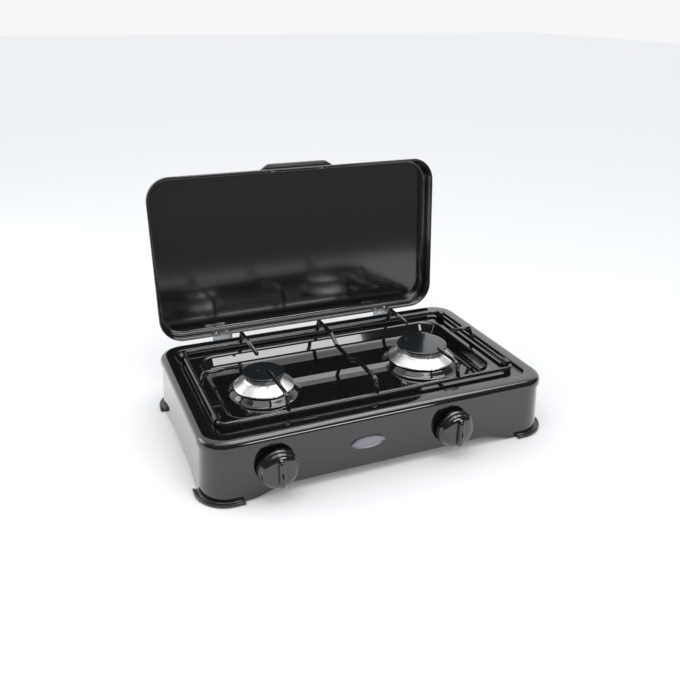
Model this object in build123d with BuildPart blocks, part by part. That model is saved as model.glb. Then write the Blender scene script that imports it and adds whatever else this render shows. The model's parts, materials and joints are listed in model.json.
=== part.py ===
from build123d import *
import math
import os

# Two-burner gas hob with a hinged lid, in millimetres.
# Front is -Y, right is +X, up is +Z, and the lid stands open, which is the rest pose.
# Pieces are drawn about the body's middle on the table. save() then moves them back by half the
# difference of front and rear reach, so that the origin is the middle of the whole base.

# ---- Sheet steel body ----
sheet = 1.0
body_length = 500.0
body_width = 302.0
body_corner = 36.0
body_height = 87.0
shoulder_radius = 10.0
lip_height = 12.0
wall_inset = 3.0
wall_draft = 3.2
flange_depth = 26.0

# ---- Arches under the walls ----
arch_height = 13.0
foot_span_x = 55.0
foot_span_y = 51.0
arch_ramp = 50.0
arch_round = 20.0

# ---- Corner feet ----
foot_floor = 1.6
foot_height = 5.5
foot_reach = 7.0
foot_inner = 6.0
foot_round = 1.2
groove_clearance = 0.3

# ---- Ledge and well of the hob top ----
step_inset = 22.0
step_depth = 5.0
step_corner = 18.0
well_side_margin = 30.0
well_end_margin = 34.5
well_corner = 26.0
well_centre_y = 7.5
well_depth = 18.0
well_slope = 8.0
collar_height = 8.0
collar_slope = 12.0

# ---- Burners ----
burner_from_well_end = 72.0
burner_ahead = 4.5
left_skirt_radius = 43.0
left_cap_radius = 30.0
right_skirt_radius = 51.0
right_cap_radius = 38.0
collar_overlap = 3.0
skirt_lift = 1.0
skirt_height = 12.0
skirt_thickness = 1.5
port_height = 7.0
port_width = 1.4
port_pitch = 5.2
port_wall = 4.5
slit_count = 12
slit_width = 0.8
slit_depth = 0.7
cap_overhang = 3.0
cap_thickness = 4.0
cap_edge = 1.2
cap_spigot_depth = 4.0
cup_wall = 3.0
cup_depth = 34.0
cup_flange = 9.0
cup_flange_thickness = 2.5
neck_seat = 4.0
tube_radius = 9.0
tube_bore = 6.5
tube_length = 34.0
screw_radius = 1.6
screw_head_radius = 3.0
screw_head_height = 1.6
burner_screw_count = 3
fit_clearance = 0.05
loose_clearance = 0.3
through = 4.0
wall_cut = 20.0

# ---- Gas train ----
tap_offset_x = 33.0
tap_height = 43.0
tap_radius = 9.0
tap_length = 34.0
tap_setback = 6.0
spindle_radius = 4.0
spindle_bearing = 6.0
spindle_hole_radius = 6.0
spring_well_radius = 7.0
spring_well_depth = 15.0
spring_wire = 0.5
spring_radius = 5.6
spring_turns = 5
washer_thickness = 1.5
push_travel = 3.0
pipe_radius = 3.0
pipe_bore = 2.0
pipe_bend = 8.0
pipe_straight = 12.0
holder_radius = 6.0
holder_length = 12.0
injector_radius = 3.0
injector_length = 8.0
injector_bore = 0.5
injector_gap = 4.0
rail_radius = 6.0
rail_bore = 4.5
rail_drop = 19.0
rail_setback = 30.0
rail_bend = 22.0
rail_overhang = 18.0
stub_radius = 4.0
saddle_width = 14.0
saddle_height = 10.0
saddle_spacing = 40.0
inlet_from_side = 60.0
inlet_radius = 6.58
inlet_length = 14.0
inlet_shank_radius = 6.0
inlet_relief = 2.0
inlet_bore = 3.5
inlet_seat = 10.0
nut_radius = 11.0
nut_thickness = 6.0

# ---- Knobs ----
knob_radius = 27.0
knob_skirt = 8.0
knob_crown_radius = 24.0
knob_crown = 8.0
knob_crown_round = 6.5
knob_wall = 2.5
knob_gap = 0.7
knob_boss_radius = 8.0
grip_width = 9.0
grip_length = 42.0
grip_height = 6.0
grip_round = 2.5

# ---- Badge ----
badge_height = 47.0
badge_half_length = 24.0
badge_half_width = 8.5
badge_thickness = 1.2

# ---- Wire pan support ----
wire_radius = 3.0
frame_side_margin = 18.5
frame_end_margin = 18.0
frame_corner = 9.0
frame_lift = 2.5
finger_height = 108.0
knee_inset = 7.0
knee_bend = 6.0
left_tip_radius = 30.0
right_tip_radius = 50.0
bridge_dip = 10.5
bridge_dip_front = -15.0
bridge_dip_back = 37.0
bridge_ramp = 22.0
sleeve_length = 12.0
sleeve_from_corner = 16.0

# ---- Ledge buffers ----
buffer_from_side = 123.0
buffer_length = 20.0
buffer_width = 5.0
buffer_height = 3.0
buffer_edge = 1.2

# ---- Lid ----
lid_side_margin = 12.75
lid_front_margin = 39.1
lid_corner = 38.0
lid_depth = 26.5
lid_edge = 8.0
lid_bead = 1.6
lid_open = 94.4
lid_gap = 3.4
hinge_behind = 3.0
hinge_drop = 17.5
lid_rear_inset = 10.9
handle_length = 122.0
handle_reach = 7.0
handle_taper = 14.0
handle_thickness = 9.0
handle_round = 5.0
handle_edge = 2.5
handle_lift = 2.5
handle_screw_spacing = 80.0
handle_screw_depth = 6.0

# ---- Hinges ----
hinge_from_lid_side = 96.25
hinge_width = 32.0
leaf_thickness = 1.2
leaf_gap = 0.4
barrel_radius = 3.0
pin_radius = 1.5
pin_clearance = 0.05
knuckle_gap = 0.3
knuckle_share = 0.4
wall_leaf_height = 24.0
lid_leaf_height = 14.0
rivet_spacing = 18.0
rivet_radius = 1.5
rivet_head_radius = 3.0
rivet_head_height = 1.0
rivet_edge = 6.0

# ---- Worked-out levels ----
lip_bottom = body_height - lip_height
ledge_height = body_height - step_depth
floor_height = ledge_height - well_depth
collar_top = floor_height + collar_height
wall_top = ledge_height - sheet
step_length = body_length - 2 * step_inset
step_width = body_width - 2 * step_inset
arch_front_half = body_length / 2 - foot_span_x
arch_side_half = body_width / 2 - foot_span_y
well_length = step_length - 2 * well_side_margin
well_width = step_width - 2 * well_end_margin
burner_x = well_length / 2 - burner_from_well_end
burner_y = well_centre_y - burner_ahead
inlet_x = body_length / 2 - inlet_from_side
buffer_x = step_length / 2 - buffer_from_side
skirt_base = collar_top + skirt_lift
skirt_top = skirt_base + skirt_height
port_top = skirt_top + port_height
frame_length = well_length + 2 * frame_side_margin
frame_width = well_width + 2 * frame_end_margin
frame_height = ledge_height + frame_lift + wire_radius
sleeve_radius = frame_lift + wire_radius
draft_tangent = math.tan(math.radians(wall_draft))
hinge_y = body_width / 2 + hinge_behind
hinge_height = body_height - hinge_drop
lid_length = body_length - 2 * lid_side_margin
lid_width = hinge_y - lid_rear_inset + body_width / 2 - lid_front_margin
hinge_x = lid_length / 2 - hinge_from_lid_side
leaf_top = hinge_height - barrel_radius
leaf_middle = leaf_top - wall_leaf_height / 2

lid_plane = Plane(
    origin=(0, hinge_y, hinge_height),
    x_dir=(1, 0, 0),
    z_dir=(0, math.sin(math.radians(lid_open)), math.cos(math.radians(lid_open))),
)
rim_height = hinge_drop + lid_gap
bead_bulge = 2 * lid_bead - sheet
shell_length = lid_length - 2 * bead_bulge
shell_width = lid_width - 2 * bead_bulge
lid_centre_y = -lid_rear_inset - lid_width / 2
lid_rear_wall = lid_centre_y + shell_width / 2
lid_front_wall = lid_centre_y - shell_width / 2


os.makedirs("parts", exist_ok=True)


def wall_offset(height):
    """Return how far the drafted wall stands inside the lip's outline at a height."""
    return wall_inset - (wall_top - height) * draft_tangent


knob_low = tap_height - knob_radius
knob_back_y = -(body_width / 2 - wall_offset(knob_low)) - push_travel - knob_gap
front_reach = knob_back_y - knob_skirt - knob_crown - grip_height
rear_reach = (
    hinge_y
    + lid_edge
    + (lid_front_wall + lid_edge) * lid_plane.y_dir.Y
    + (rim_height + lid_depth - lid_edge) * lid_plane.z_dir.Y
)
base_middle = Location((0, -(front_reach + rear_reach) / 2, 0))


def save(piece, label):
    """Move a finished piece to the base's middle, label it and write its STEP file."""
    placed = piece.moved(base_middle)
    placed.label = label
    export_step(placed, f"parts/{label}.step")


def tray_form(base, length, width, corner, low, high, edge, centre_y=0.0):
    """Return a rounded block between two levels, with its top edge rounded."""
    with BuildPart() as form:
        with BuildSketch(base.offset(low)):
            with Locations((0, centre_y)):
                RectangleRounded(length, width, corner)
        extrude(amount=high - low)
        fillet(form.faces().sort_by(Axis(base.origin, base.z_dir))[-1].edges(), edge)
    return form.part


def wall_form(skin, low, high):
    """Return the solid inside the drafted wall, moved inwards by a skin."""
    inset_low = wall_offset(low) + skin
    inset_high = wall_offset(high) + skin
    with BuildPart() as form:
        for level, inset in ((low, inset_low), (high, inset_high)):
            with BuildSketch(Plane.XY.offset(level)):
                RectangleRounded(body_length - 2 * inset, body_width - 2 * inset, body_corner - inset)
        loft(ruled=True)
    return form.part


def well_form(skin):
    """Return the well's tapered solid, grown outwards and downwards by a skin."""
    with BuildPart() as form:
        with BuildSketch(Plane.XY.offset(ledge_height)):
            with Locations((0, well_centre_y)):
                RectangleRounded(well_length + 2 * skin, well_width + 2 * skin, well_corner + skin)
        with BuildSketch(Plane.XY.offset(floor_height - skin)):
            with Locations((0, well_centre_y)):
                RectangleRounded(
                    well_length - 2 * well_slope + 2 * skin,
                    well_width - 2 * well_slope + 2 * skin,
                    well_corner - well_slope + skin,
                )
        loft(ruled=True)
    return form.part


def wire_form(points, bend, radius):
    """Return a round wire carried along straight runs joined by tangent bends."""
    with BuildPart() as form:
        with BuildLine() as route:
            FilletPolyline(*points, radius=bend)
        with BuildSketch(Plane(origin=route.line @ 0, z_dir=route.line % 0)):
            Circle(radius)
        sweep()
    return form.part


class BurnerSize:
    """Radii of one burner, worked out from its skirt and cap."""

    def __init__(self, side, skirt_radius, cap_radius):
        self.side = side
        self.x = side * burner_x
        self.skirt_radius = skirt_radius
        self.cap_radius = cap_radius
        self.port_radius = cap_radius - cap_overhang
        self.bore_radius = self.port_radius - port_wall
        self.cup_radius = self.bore_radius + cup_wall
        self.collar_radius = skirt_radius - collar_overlap
        self.collar_foot = self.collar_radius + collar_slope
        self.hole_radius = self.cup_radius + loose_clearance
        self.screw_circle = self.cup_radius + cup_flange / 2
        self.tap_x = self.x - tap_offset_x


burners = {
    "left": BurnerSize(-1, left_skirt_radius, left_cap_radius),
    "right": BurnerSize(1, right_skirt_radius, right_cap_radius),
}
rail_y = -(body_width / 2 - rail_setback)
rail_height = tap_height - rail_drop
tap_face_y = -(body_width / 2 - wall_offset(tap_height) - sheet) + tap_setback
tap_back_y = tap_face_y + tap_length
wall_behind_y = body_width / 2 - wall_offset(rail_height)

# ---- Casing ----
casing_outer = wall_form(0.0, foot_floor, wall_top)
casing_hollow = wall_form(sheet, foot_floor, wall_top - sheet)
with BuildPart() as casing:
    add(casing_outer)
    add(casing_hollow, mode=Mode.SUBTRACT)
    with BuildSketch(Plane.XY.offset(wall_top - sheet)):
        RectangleRounded(body_length - 2 * flange_depth, body_width - 2 * flange_depth, step_corner)
    extrude(amount=sheet, mode=Mode.SUBTRACT)
    for base, half in ((Plane.XZ, arch_front_half), (Plane.YZ, arch_side_half)):
        with BuildSketch(base):
            with BuildLine():
                Polyline(
                    (-half, -arch_height),
                    (-half, foot_floor),
                    (-half + arch_ramp, arch_height),
                    (half - arch_ramp, arch_height),
                    (half, foot_floor),
                    (half, -arch_height),
                    close=True,
                )
            arch = make_face()
            fillet(arch.vertices().group_by(Axis.Y)[-1], arch_round)
        extrude(amount=body_length, both=True, mode=Mode.SUBTRACT)
    with Locations(Plane.XZ.offset(body_width / 2)):
        with Locations(*[(burner.tap_x, tap_height) for burner in burners.values()]):
            Cylinder(spindle_hole_radius, wall_cut, mode=Mode.SUBTRACT)
    with Locations(Plane.XZ.offset(-body_width / 2)):
        with Locations((inlet_x, rail_height)):
            Cylinder(inlet_shank_radius + fit_clearance, wall_cut, mode=Mode.SUBTRACT)
        with Locations((-hinge_x, leaf_middle), (hinge_x, leaf_middle)):
            with GridLocations(rivet_spacing, 1, 2, 1):
                Cylinder(rivet_radius + fit_clearance, wall_cut, mode=Mode.SUBTRACT)
save(casing.part, "casing")


# ---- Hob top ----
hob_skin = tray_form(
    Plane.XY, body_length, body_width, body_corner, lip_bottom, body_height, shoulder_radius
)
hob_hollow = tray_form(
    Plane.XY,
    body_length - 2 * sheet,
    body_width - 2 * sheet,
    body_corner - sheet,
    lip_bottom,
    body_height - sheet,
    shoulder_radius - sheet,
)
well_skin = well_form(sheet)
well_hollow = well_form(0.0)
with BuildPart() as hob_top:
    add(hob_skin)
    add(hob_hollow, mode=Mode.SUBTRACT)
    with BuildSketch(Plane.XY.offset(ledge_height - sheet)):
        RectangleRounded(step_length + 2 * sheet, step_width + 2 * sheet, step_corner + sheet)
    extrude(amount=step_depth)
    with BuildSketch(Plane.XY.offset(ledge_height)):
        RectangleRounded(step_length, step_width, step_corner)
    extrude(amount=step_depth, mode=Mode.SUBTRACT)
    add(well_skin)
    add(well_hollow, mode=Mode.SUBTRACT)
    for burner in burners.values():
        with BuildSketch(Plane.XZ.offset(-burner_y)):
            with BuildLine():
                Polyline(
                    (burner.x + burner.hole_radius, collar_top),
                    (burner.x + burner.collar_radius, collar_top),
                    (burner.x + burner.collar_foot, floor_height),
                    (burner.x + burner.collar_foot, floor_height - sheet),
                    (burner.x + burner.hole_radius, floor_height - sheet),
                    close=True,
                )
            make_face()
        revolve(axis=Axis((burner.x, burner_y, 0), (0, 0, 1)))
        with BuildSketch(Plane.XZ.offset(-burner_y)):
            with BuildLine():
                Polyline(
                    (burner.x, collar_top - sheet),
                    (burner.x + burner.collar_radius, collar_top - sheet),
                    (burner.x + burner.collar_foot - sheet, floor_height - sheet),
                    (burner.x, floor_height - sheet),
                    close=True,
                )
            make_face()
        revolve(axis=Axis((burner.x, burner_y, 0), (0, 0, 1)), mode=Mode.SUBTRACT)
        with Locations((burner.x, burner_y, collar_top)):
            Cylinder(burner.hole_radius, through, mode=Mode.SUBTRACT)
            with PolarLocations(burner.screw_circle, burner_screw_count):
                Cylinder(screw_radius + fit_clearance, through, mode=Mode.SUBTRACT)
save(hob_top.part, "hob_top")


# ---- Corner feet ----
def corner_foot(side_x, side_y):
    """Return one moulded foot that grips the casing's lower edge round a corner."""
    base_inset = wall_offset(foot_floor)
    groove_out = base_inset - groove_clearance
    groove_in = base_inset + sheet + groove_clearance
    outline = base_inset - foot_reach
    inner = base_inset + sheet + foot_inner
    corner_x = body_length / 2 - outline - (arch_front_half - foot_reach)
    corner_y = body_width / 2 - outline - (arch_side_half - foot_reach)
    with BuildPart() as foot:
        with BuildSketch():
            RectangleRounded(body_length - 2 * outline, body_width - 2 * outline, body_corner - outline)
            RectangleRounded(
                body_length - 2 * inner,
                body_width - 2 * inner,
                body_corner - inner,
                mode=Mode.SUBTRACT,
            )
            with Locations((side_x * (body_length / 2 - outline), side_y * (body_width / 2 - outline))):
                Rectangle(2 * corner_x, 2 * corner_y, mode=Mode.INTERSECT)
        extrude(amount=foot_height)
        fillet(foot.faces().sort_by(Axis.Z)[-1].edges(), foot_round)
        with BuildSketch(Plane.XY.offset(foot_floor)):
            RectangleRounded(
                body_length - 2 * groove_out, body_width - 2 * groove_out, body_corner - groove_out
            )
            RectangleRounded(
                body_length - 2 * groove_in,
                body_width - 2 * groove_in,
                body_corner - groove_in,
                mode=Mode.SUBTRACT,
            )
        extrude(amount=foot_height, mode=Mode.SUBTRACT)
    return foot.part


for foot_name, side_x, side_y in (
    ("front_left_foot", -1, -1),
    ("front_right_foot", 1, -1),
    ("rear_left_foot", -1, 1),
    ("rear_right_foot", 1, 1),
):
    save(corner_foot(side_x, side_y), foot_name)


# ---- Burners ----
def burner_body(burner):
    """Return the cast cup with its flange and its mixing tube."""
    cup_bottom = collar_top - sheet - cup_depth
    flange_top = collar_top - sheet
    tube_end = burner_y - burner.cup_radius - tube_length
    tube_axis = Plane(origin=(burner.x, tube_end, tap_height), x_dir=(1, 0, 0), z_dir=(0, 1, 0))
    tube_run = burner_y - tube_end
    with BuildPart() as body:
        with Locations((burner.x, burner_y, cup_bottom)):
            Cylinder(
                burner.cup_radius,
                collar_top + neck_seat - cup_bottom,
                align=(Align.CENTER, Align.CENTER, Align.MIN),
            )
        with Locations((burner.x, burner_y, flange_top)):
            Cylinder(
                burner.cup_radius + cup_flange,
                cup_flange_thickness,
                align=(Align.CENTER, Align.CENTER, Align.MAX),
            )
            with PolarLocations(burner.screw_circle, burner_screw_count):
                Cylinder(screw_radius, 2 * cup_flange_thickness + through, mode=Mode.SUBTRACT)
        with BuildSketch(tube_axis):
            Circle(tube_radius)
        extrude(amount=tube_run)
        with Locations((burner.x, burner_y, cup_bottom + cup_wall)):
            Cylinder(
                burner.bore_radius,
                cup_depth + neck_seat + through,
                align=(Align.CENTER, Align.CENTER, Align.MIN),
                mode=Mode.SUBTRACT,
            )
        with BuildSketch(tube_axis):
            Circle(tube_bore)
        extrude(amount=tube_run, mode=Mode.SUBTRACT)
    return body.part


def burner_crown(burner):
    """Return the flared bright skirt with its ring of ports."""
    seat_height = collar_top + neck_seat
    seat_radius = burner.port_radius - skirt_thickness / 2
    with BuildPart() as crown:
        with BuildSketch(Plane.XZ.offset(-burner_y)):
            with BuildLine():
                Polyline(
                    (burner.x + burner.bore_radius, seat_height),
                    (burner.x + seat_radius, seat_height),
                    (burner.x + seat_radius, skirt_top - 2 * skirt_thickness),
                    (burner.x + burner.skirt_radius - skirt_thickness, skirt_base),
                    (burner.x + burner.skirt_radius, skirt_base),
                    (burner.x + burner.skirt_radius, skirt_base + skirt_thickness / 2),
                    (burner.x + burner.port_radius, skirt_top),
                    (burner.x + burner.port_radius, port_top),
                    (burner.x + burner.bore_radius, port_top),
                    close=True,
                )
            make_face()
        revolve(axis=Axis((burner.x, burner_y, 0), (0, 0, 1)))
        port_count = round(2 * math.pi * burner.port_radius / port_pitch)
        with Locations((burner.x, burner_y, skirt_top + port_height / 2)):
            with PolarLocations(burner.port_radius, port_count):
                Box(
                    2 * (port_wall + port_width),
                    port_width,
                    port_height - 2 * port_width,
                    mode=Mode.SUBTRACT,
                )
        slope_run = burner.skirt_radius - burner.port_radius
        slope = math.degrees(math.atan2(skirt_height - skirt_thickness / 2, slope_run))
        middle_radius = (burner.skirt_radius + burner.port_radius) / 2
        middle_height = (skirt_top + skirt_base + skirt_thickness / 2) / 2
        with Locations((burner.x, burner_y, middle_height)):
            with PolarLocations(middle_radius, slit_count):
                Box(slope_run, slit_width, 2 * slit_depth, rotation=(0, slope, 0), mode=Mode.SUBTRACT)
    return crown.part


def burner_cap(burner):
    """Return the cap with the spigot that centres it in the crown."""
    with BuildPart() as cap:
        with Locations((burner.x, burner_y, port_top)):
            Cylinder(burner.cap_radius, cap_thickness, align=(Align.CENTER, Align.CENTER, Align.MIN))
        fillet(cap.edges().group_by(Axis.Z)[-1], cap_edge)
        with Locations((burner.x, burner_y, port_top)):
            Cylinder(
                burner.bore_radius - loose_clearance,
                cap_spigot_depth,
                align=(Align.CENTER, Align.CENTER, Align.MAX),
            )
    return cap.part


def burner_screws(burner):
    """Return the screws that hold the cup's flange under the collar."""
    with BuildPart() as screws:
        with Locations((burner.x, burner_y, collar_top)):
            with PolarLocations(burner.screw_circle, burner_screw_count):
                Cylinder(
                    screw_radius - fit_clearance,
                    sheet + cup_flange_thickness,
                    align=(Align.CENTER, Align.CENTER, Align.MAX),
                )
                Cylinder(
                    screw_head_radius,
                    screw_head_height,
                    align=(Align.CENTER, Align.CENTER, Align.MIN),
                )
    return screws.part


# ---- Gas train ----
def along_y(x, y, z):
    """Return a plane whose normal runs towards the back of the hob."""
    return Plane(origin=(x, y, z), x_dir=(1, 0, 0), z_dir=(0, 1, 0))


def tap_body(burner):
    """Return the brass tap with its stub onto the rail, its bearing and its spring well."""
    with BuildPart() as tap:
        with BuildSketch(along_y(burner.tap_x, tap_face_y, tap_height)):
            Circle(tap_radius)
        extrude(amount=tap_length)
        with BuildSketch(Plane(origin=(burner.tap_x, rail_y, tap_height), z_dir=(0, 0, -1))):
            Circle(stub_radius)
        extrude(amount=rail_drop)
        with BuildSketch(Plane.YZ.offset(burner.tap_x)):
            with Locations((rail_y, rail_height)):
                Circle(rail_radius)
        extrude(amount=tap_radius, both=True, mode=Mode.SUBTRACT)
        with BuildSketch(along_y(burner.tap_x, tap_face_y, tap_height)):
            Circle(spring_well_radius)
        extrude(amount=spring_well_depth, mode=Mode.SUBTRACT)
        with BuildSketch(along_y(burner.tap_x, tap_face_y, tap_height)):
            Circle(spindle_radius + fit_clearance)
        extrude(amount=spring_well_depth + spindle_bearing + 2 * push_travel, mode=Mode.SUBTRACT)
        with BuildSketch(along_y(burner.tap_x, tap_back_y, tap_height)):
            Circle(pipe_radius)
        extrude(amount=-spindle_bearing, mode=Mode.SUBTRACT)
    return tap.part


washer_y = tap_face_y + push_travel


def thrust_washer(burner):
    """Return the washer that carries the spring's push to the spindle."""
    with BuildPart() as washer:
        with BuildSketch(along_y(burner.tap_x, washer_y, tap_height)):
            Circle(spring_well_radius - loose_clearance)
            Circle(spindle_radius + fit_clearance, mode=Mode.SUBTRACT)
        extrude(amount=washer_thickness)
    return washer.part


def return_spring(burner):
    """Return the coil spring between the washer and the floor of its well."""
    coil_start = washer_y + washer_thickness + spring_wire
    coil_length = spring_well_depth - push_travel - washer_thickness - 2 * spring_wire
    with BuildPart() as spring:
        with BuildLine() as coil:
            Helix(
                coil_length / spring_turns,
                coil_length,
                spring_radius,
                center=(burner.tap_x, coil_start, tap_height),
                direction=(0, 1, 0),
            )
        with BuildSketch(Plane(origin=coil.line @ 0, z_dir=coil.line % 0)):
            Circle(spring_wire)
        sweep()
    return spring.part


def spindle(burner):
    """Return the stem that carries the knob, with its shoulder in front of the washer."""
    socket_floor = knob_back_y - knob_skirt + knob_wall
    stem_end = tap_face_y + spring_well_depth + spindle_bearing
    shoulder_front = washer_y - washer_thickness
    with BuildPart() as stem:
        with BuildSketch(along_y(burner.tap_x, socket_floor, tap_height)):
            Circle(spindle_radius)
        extrude(amount=stem_end - socket_floor)
        with BuildSketch(along_y(burner.tap_x, shoulder_front, tap_height)):
            Circle(spindle_hole_radius - loose_clearance)
        extrude(amount=washer_y - shoulder_front)
    return stem.part


def knob(burner):
    """Return the knob: a skirt, a rounded crown and a grip bar across its face."""
    skirt_front = knob_back_y - knob_skirt
    crown_front = skirt_front - knob_crown
    socket_floor = skirt_front + knob_wall
    forwards = Plane(origin=(burner.tap_x, knob_back_y, tap_height), x_dir=(1, 0, 0), z_dir=(0, -1, 0))
    with BuildPart() as handwheel:
        with BuildSketch(forwards):
            Circle(knob_radius)
        extrude(amount=knob_skirt)
        fillet(handwheel.edges().group_by(Axis.Y)[0], knob_radius - knob_crown_radius - fit_clearance)
        with BuildSketch(forwards.offset(knob_skirt)):
            Circle(knob_crown_radius)
        extrude(amount=knob_crown)
        fillet(handwheel.edges().group_by(Axis.Y)[0], knob_crown_round)
        with BuildSketch(forwards.offset(knob_skirt)):
            SlotOverall(grip_length, grip_width, rotation=90)
        extrude(amount=knob_crown + grip_height)
        fillet(handwheel.edges().group_by(Axis.Y)[0], grip_round)
        with BuildSketch(forwards):
            Circle(knob_radius - knob_wall)
            Circle(knob_boss_radius, mode=Mode.SUBTRACT)
        extrude(amount=knob_skirt - knob_wall, mode=Mode.SUBTRACT)
        with BuildSketch(forwards):
            Circle(spindle_radius + fit_clearance)
        extrude(amount=knob_back_y - socket_floor, mode=Mode.SUBTRACT)
    return handwheel.part


def injector_mouth(burner):
    """Return where the injector's tip stands, ahead of the mixing tube."""
    return burner_y - burner.cup_radius - tube_length - injector_gap


def injector_holder(burner):
    """Return the block that joins the supply pipe to the injector."""
    back = injector_mouth(burner) - injector_length / 2
    with BuildPart() as holder:
        with BuildSketch(along_y(burner.x, back - holder_length, tap_height)):
            Circle(holder_radius)
        extrude(amount=holder_length)
        with Locations((burner.x, back, tap_height - tube_radius)):
            Box(
                2 * screw_head_radius,
                2 * holder_length,
                sheet,
                align=(Align.CENTER, Align.CENTER, Align.MAX),
            )
        with Locations((burner.x, back - holder_length / 2, tap_height - tube_radius)):
            Box(
                2 * screw_head_radius,
                holder_length,
                tube_radius,
                align=(Align.CENTER, Align.CENTER, Align.MIN),
            )
        with BuildSketch(along_y(burner.x, back - holder_length, tap_height)):
            Circle(pipe_radius)
        extrude(amount=holder_length, mode=Mode.SUBTRACT)
    return holder.part


def injector(burner):
    """Return the brass jet screwed into its holder."""
    tip = injector_mouth(burner)
    with BuildPart() as jet:
        with BuildSketch(along_y(burner.x, tip - injector_length, tap_height)):
            Circle(injector_radius)
            Circle(injector_bore, mode=Mode.SUBTRACT)
        extrude(amount=injector_length)
    return jet.part


def supply_pipe(burner):
    """Return the bent pipe from the tap's outlet to the injector holder."""
    start = tap_back_y - spindle_bearing
    end = injector_mouth(burner) - injector_length / 2 - holder_length
    end_inside = end + holder_length - injector_length / 2
    middle_run = (end - pipe_straight / 2, tap_back_y + pipe_straight / 2)
    points = [
        (burner.tap_x, start, tap_height),
        (burner.tap_x, middle_run[1], tap_height),
        (burner.x, middle_run[0], tap_height),
        (burner.x, end_inside, tap_height),
    ]
    outer = wire_form(points, pipe_bend, pipe_radius)
    inner = wire_form(points, pipe_bend, pipe_bore)
    with BuildPart() as pipe:
        add(outer)
        add(inner, mode=Mode.SUBTRACT)
    return pipe.part


for side_name, burner in burners.items():
    save(burner_body(burner), f"{side_name}_burner_body")
    save(burner_crown(burner), f"{side_name}_burner_crown")
    save(burner_cap(burner), f"{side_name}_burner_cap")
    save(burner_screws(burner), f"{side_name}_burner_screws")
    save(tap_body(burner), f"{side_name}_tap_body")
    save(thrust_washer(burner), f"{side_name}_thrust_washer")
    save(return_spring(burner), f"{side_name}_return_spring")
    save(spindle(burner), f"{side_name}_spindle")
    save(knob(burner), f"{side_name}_knob")
    save(injector_holder(burner), f"{side_name}_injector_holder")
    save(injector(burner), f"{side_name}_injector")
    save(supply_pipe(burner), f"{side_name}_supply_pipe")

rail_points = [
    (burners["left"].tap_x - rail_overhang, rail_y, rail_height),
    (inlet_x, rail_y, rail_height),
    (inlet_x, wall_behind_y - inlet_seat, rail_height),
]
rail_outer = wire_form(rail_points, rail_bend, rail_radius)
rail_inner = wire_form(rail_points, rail_bend, rail_bore)
with BuildPart() as gas_rail:
    add(rail_outer)
    add(rail_inner, mode=Mode.SUBTRACT)
    with Locations(Plane.YZ.offset(burners["left"].tap_x - rail_overhang)):
        with Locations((rail_y, rail_height)):
            Cylinder(rail_bore, sheet, align=(Align.CENTER, Align.CENTER, Align.MIN))
save(gas_rail.part, "gas_rail")

with BuildPart() as rail_saddles:
    saddle_depth = body_width / 2 + rail_y
    with Locations((-saddle_spacing, rail_y, rail_height), (saddle_spacing, rail_y, rail_height)):
        Box(
            saddle_width,
            saddle_depth,
            saddle_height,
            align=(Align.CENTER, Align.MAX, Align.CENTER),
        )
    with BuildSketch(Plane.YZ):
        with Locations((rail_y, rail_height)):
            Circle(rail_radius)
    extrude(amount=body_length / 2, both=True, mode=Mode.SUBTRACT)
    add(casing_hollow, mode=Mode.INTERSECT)
save(rail_saddles.part, "rail_saddles")

nipple_start = wall_behind_y - inlet_seat
thread_start = wall_behind_y + nut_thickness + inlet_relief
thread_end = thread_start + inlet_length
with BuildPart() as inlet_nipple:
    with BuildSketch(along_y(inlet_x, nipple_start, rail_height)):
        Circle(inlet_shank_radius)
    extrude(amount=thread_start - nipple_start)
    with BuildSketch(along_y(inlet_x, thread_start, rail_height)):
        Circle(inlet_radius)
    extrude(amount=inlet_length)
    with BuildSketch(along_y(inlet_x, nipple_start, rail_height)):
        Circle(inlet_bore)
    extrude(amount=thread_end - nipple_start, mode=Mode.SUBTRACT)
save(inlet_nipple.part, "inlet_nipple")

with BuildPart() as inlet_locknut:
    with BuildSketch(along_y(inlet_x, wall_behind_y - sheet, rail_height)):
        RegularPolygon(nut_radius, 6)
        Circle(inlet_shank_radius + fit_clearance, mode=Mode.SUBTRACT)
    extrude(amount=nut_thickness + sheet)
    add(casing_outer, mode=Mode.SUBTRACT)
save(inlet_locknut.part, "inlet_locknut")

# ---- Badge ----
badge_x = (burners["left"].tap_x + burners["right"].tap_x) / 2
badge_front = -(body_width / 2 - wall_offset(badge_height)) - badge_thickness
with BuildPart() as badge:
    with BuildSketch(along_y(badge_x, badge_front, badge_height)):
        Ellipse(badge_half_length, badge_half_width)
    extrude(amount=2 * badge_thickness + sheet)
    add(casing_outer, mode=Mode.SUBTRACT)
save(badge.part, "badge")

# ---- Wire pan support ----
half_frame_x = frame_length / 2
frame_front = well_centre_y - frame_width / 2
frame_back = well_centre_y + frame_width / 2


def frame_form(radius):
    """Return the support's frame as a closed round wire."""
    with BuildPart() as form:
        with BuildLine(Plane.XY.offset(frame_height)) as frame_route:
            FilletPolyline(
                (half_frame_x, frame_front),
                (half_frame_x, frame_back),
                (-half_frame_x, frame_back),
                (-half_frame_x, frame_front),
                radius=frame_corner,
                close=True,
            )
        with BuildSketch(Plane(origin=frame_route.line @ 0, z_dir=frame_route.line % 0)):
            Circle(radius)
        sweep()
    return form.part


save(frame_form(wire_radius), "support_frame")

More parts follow.
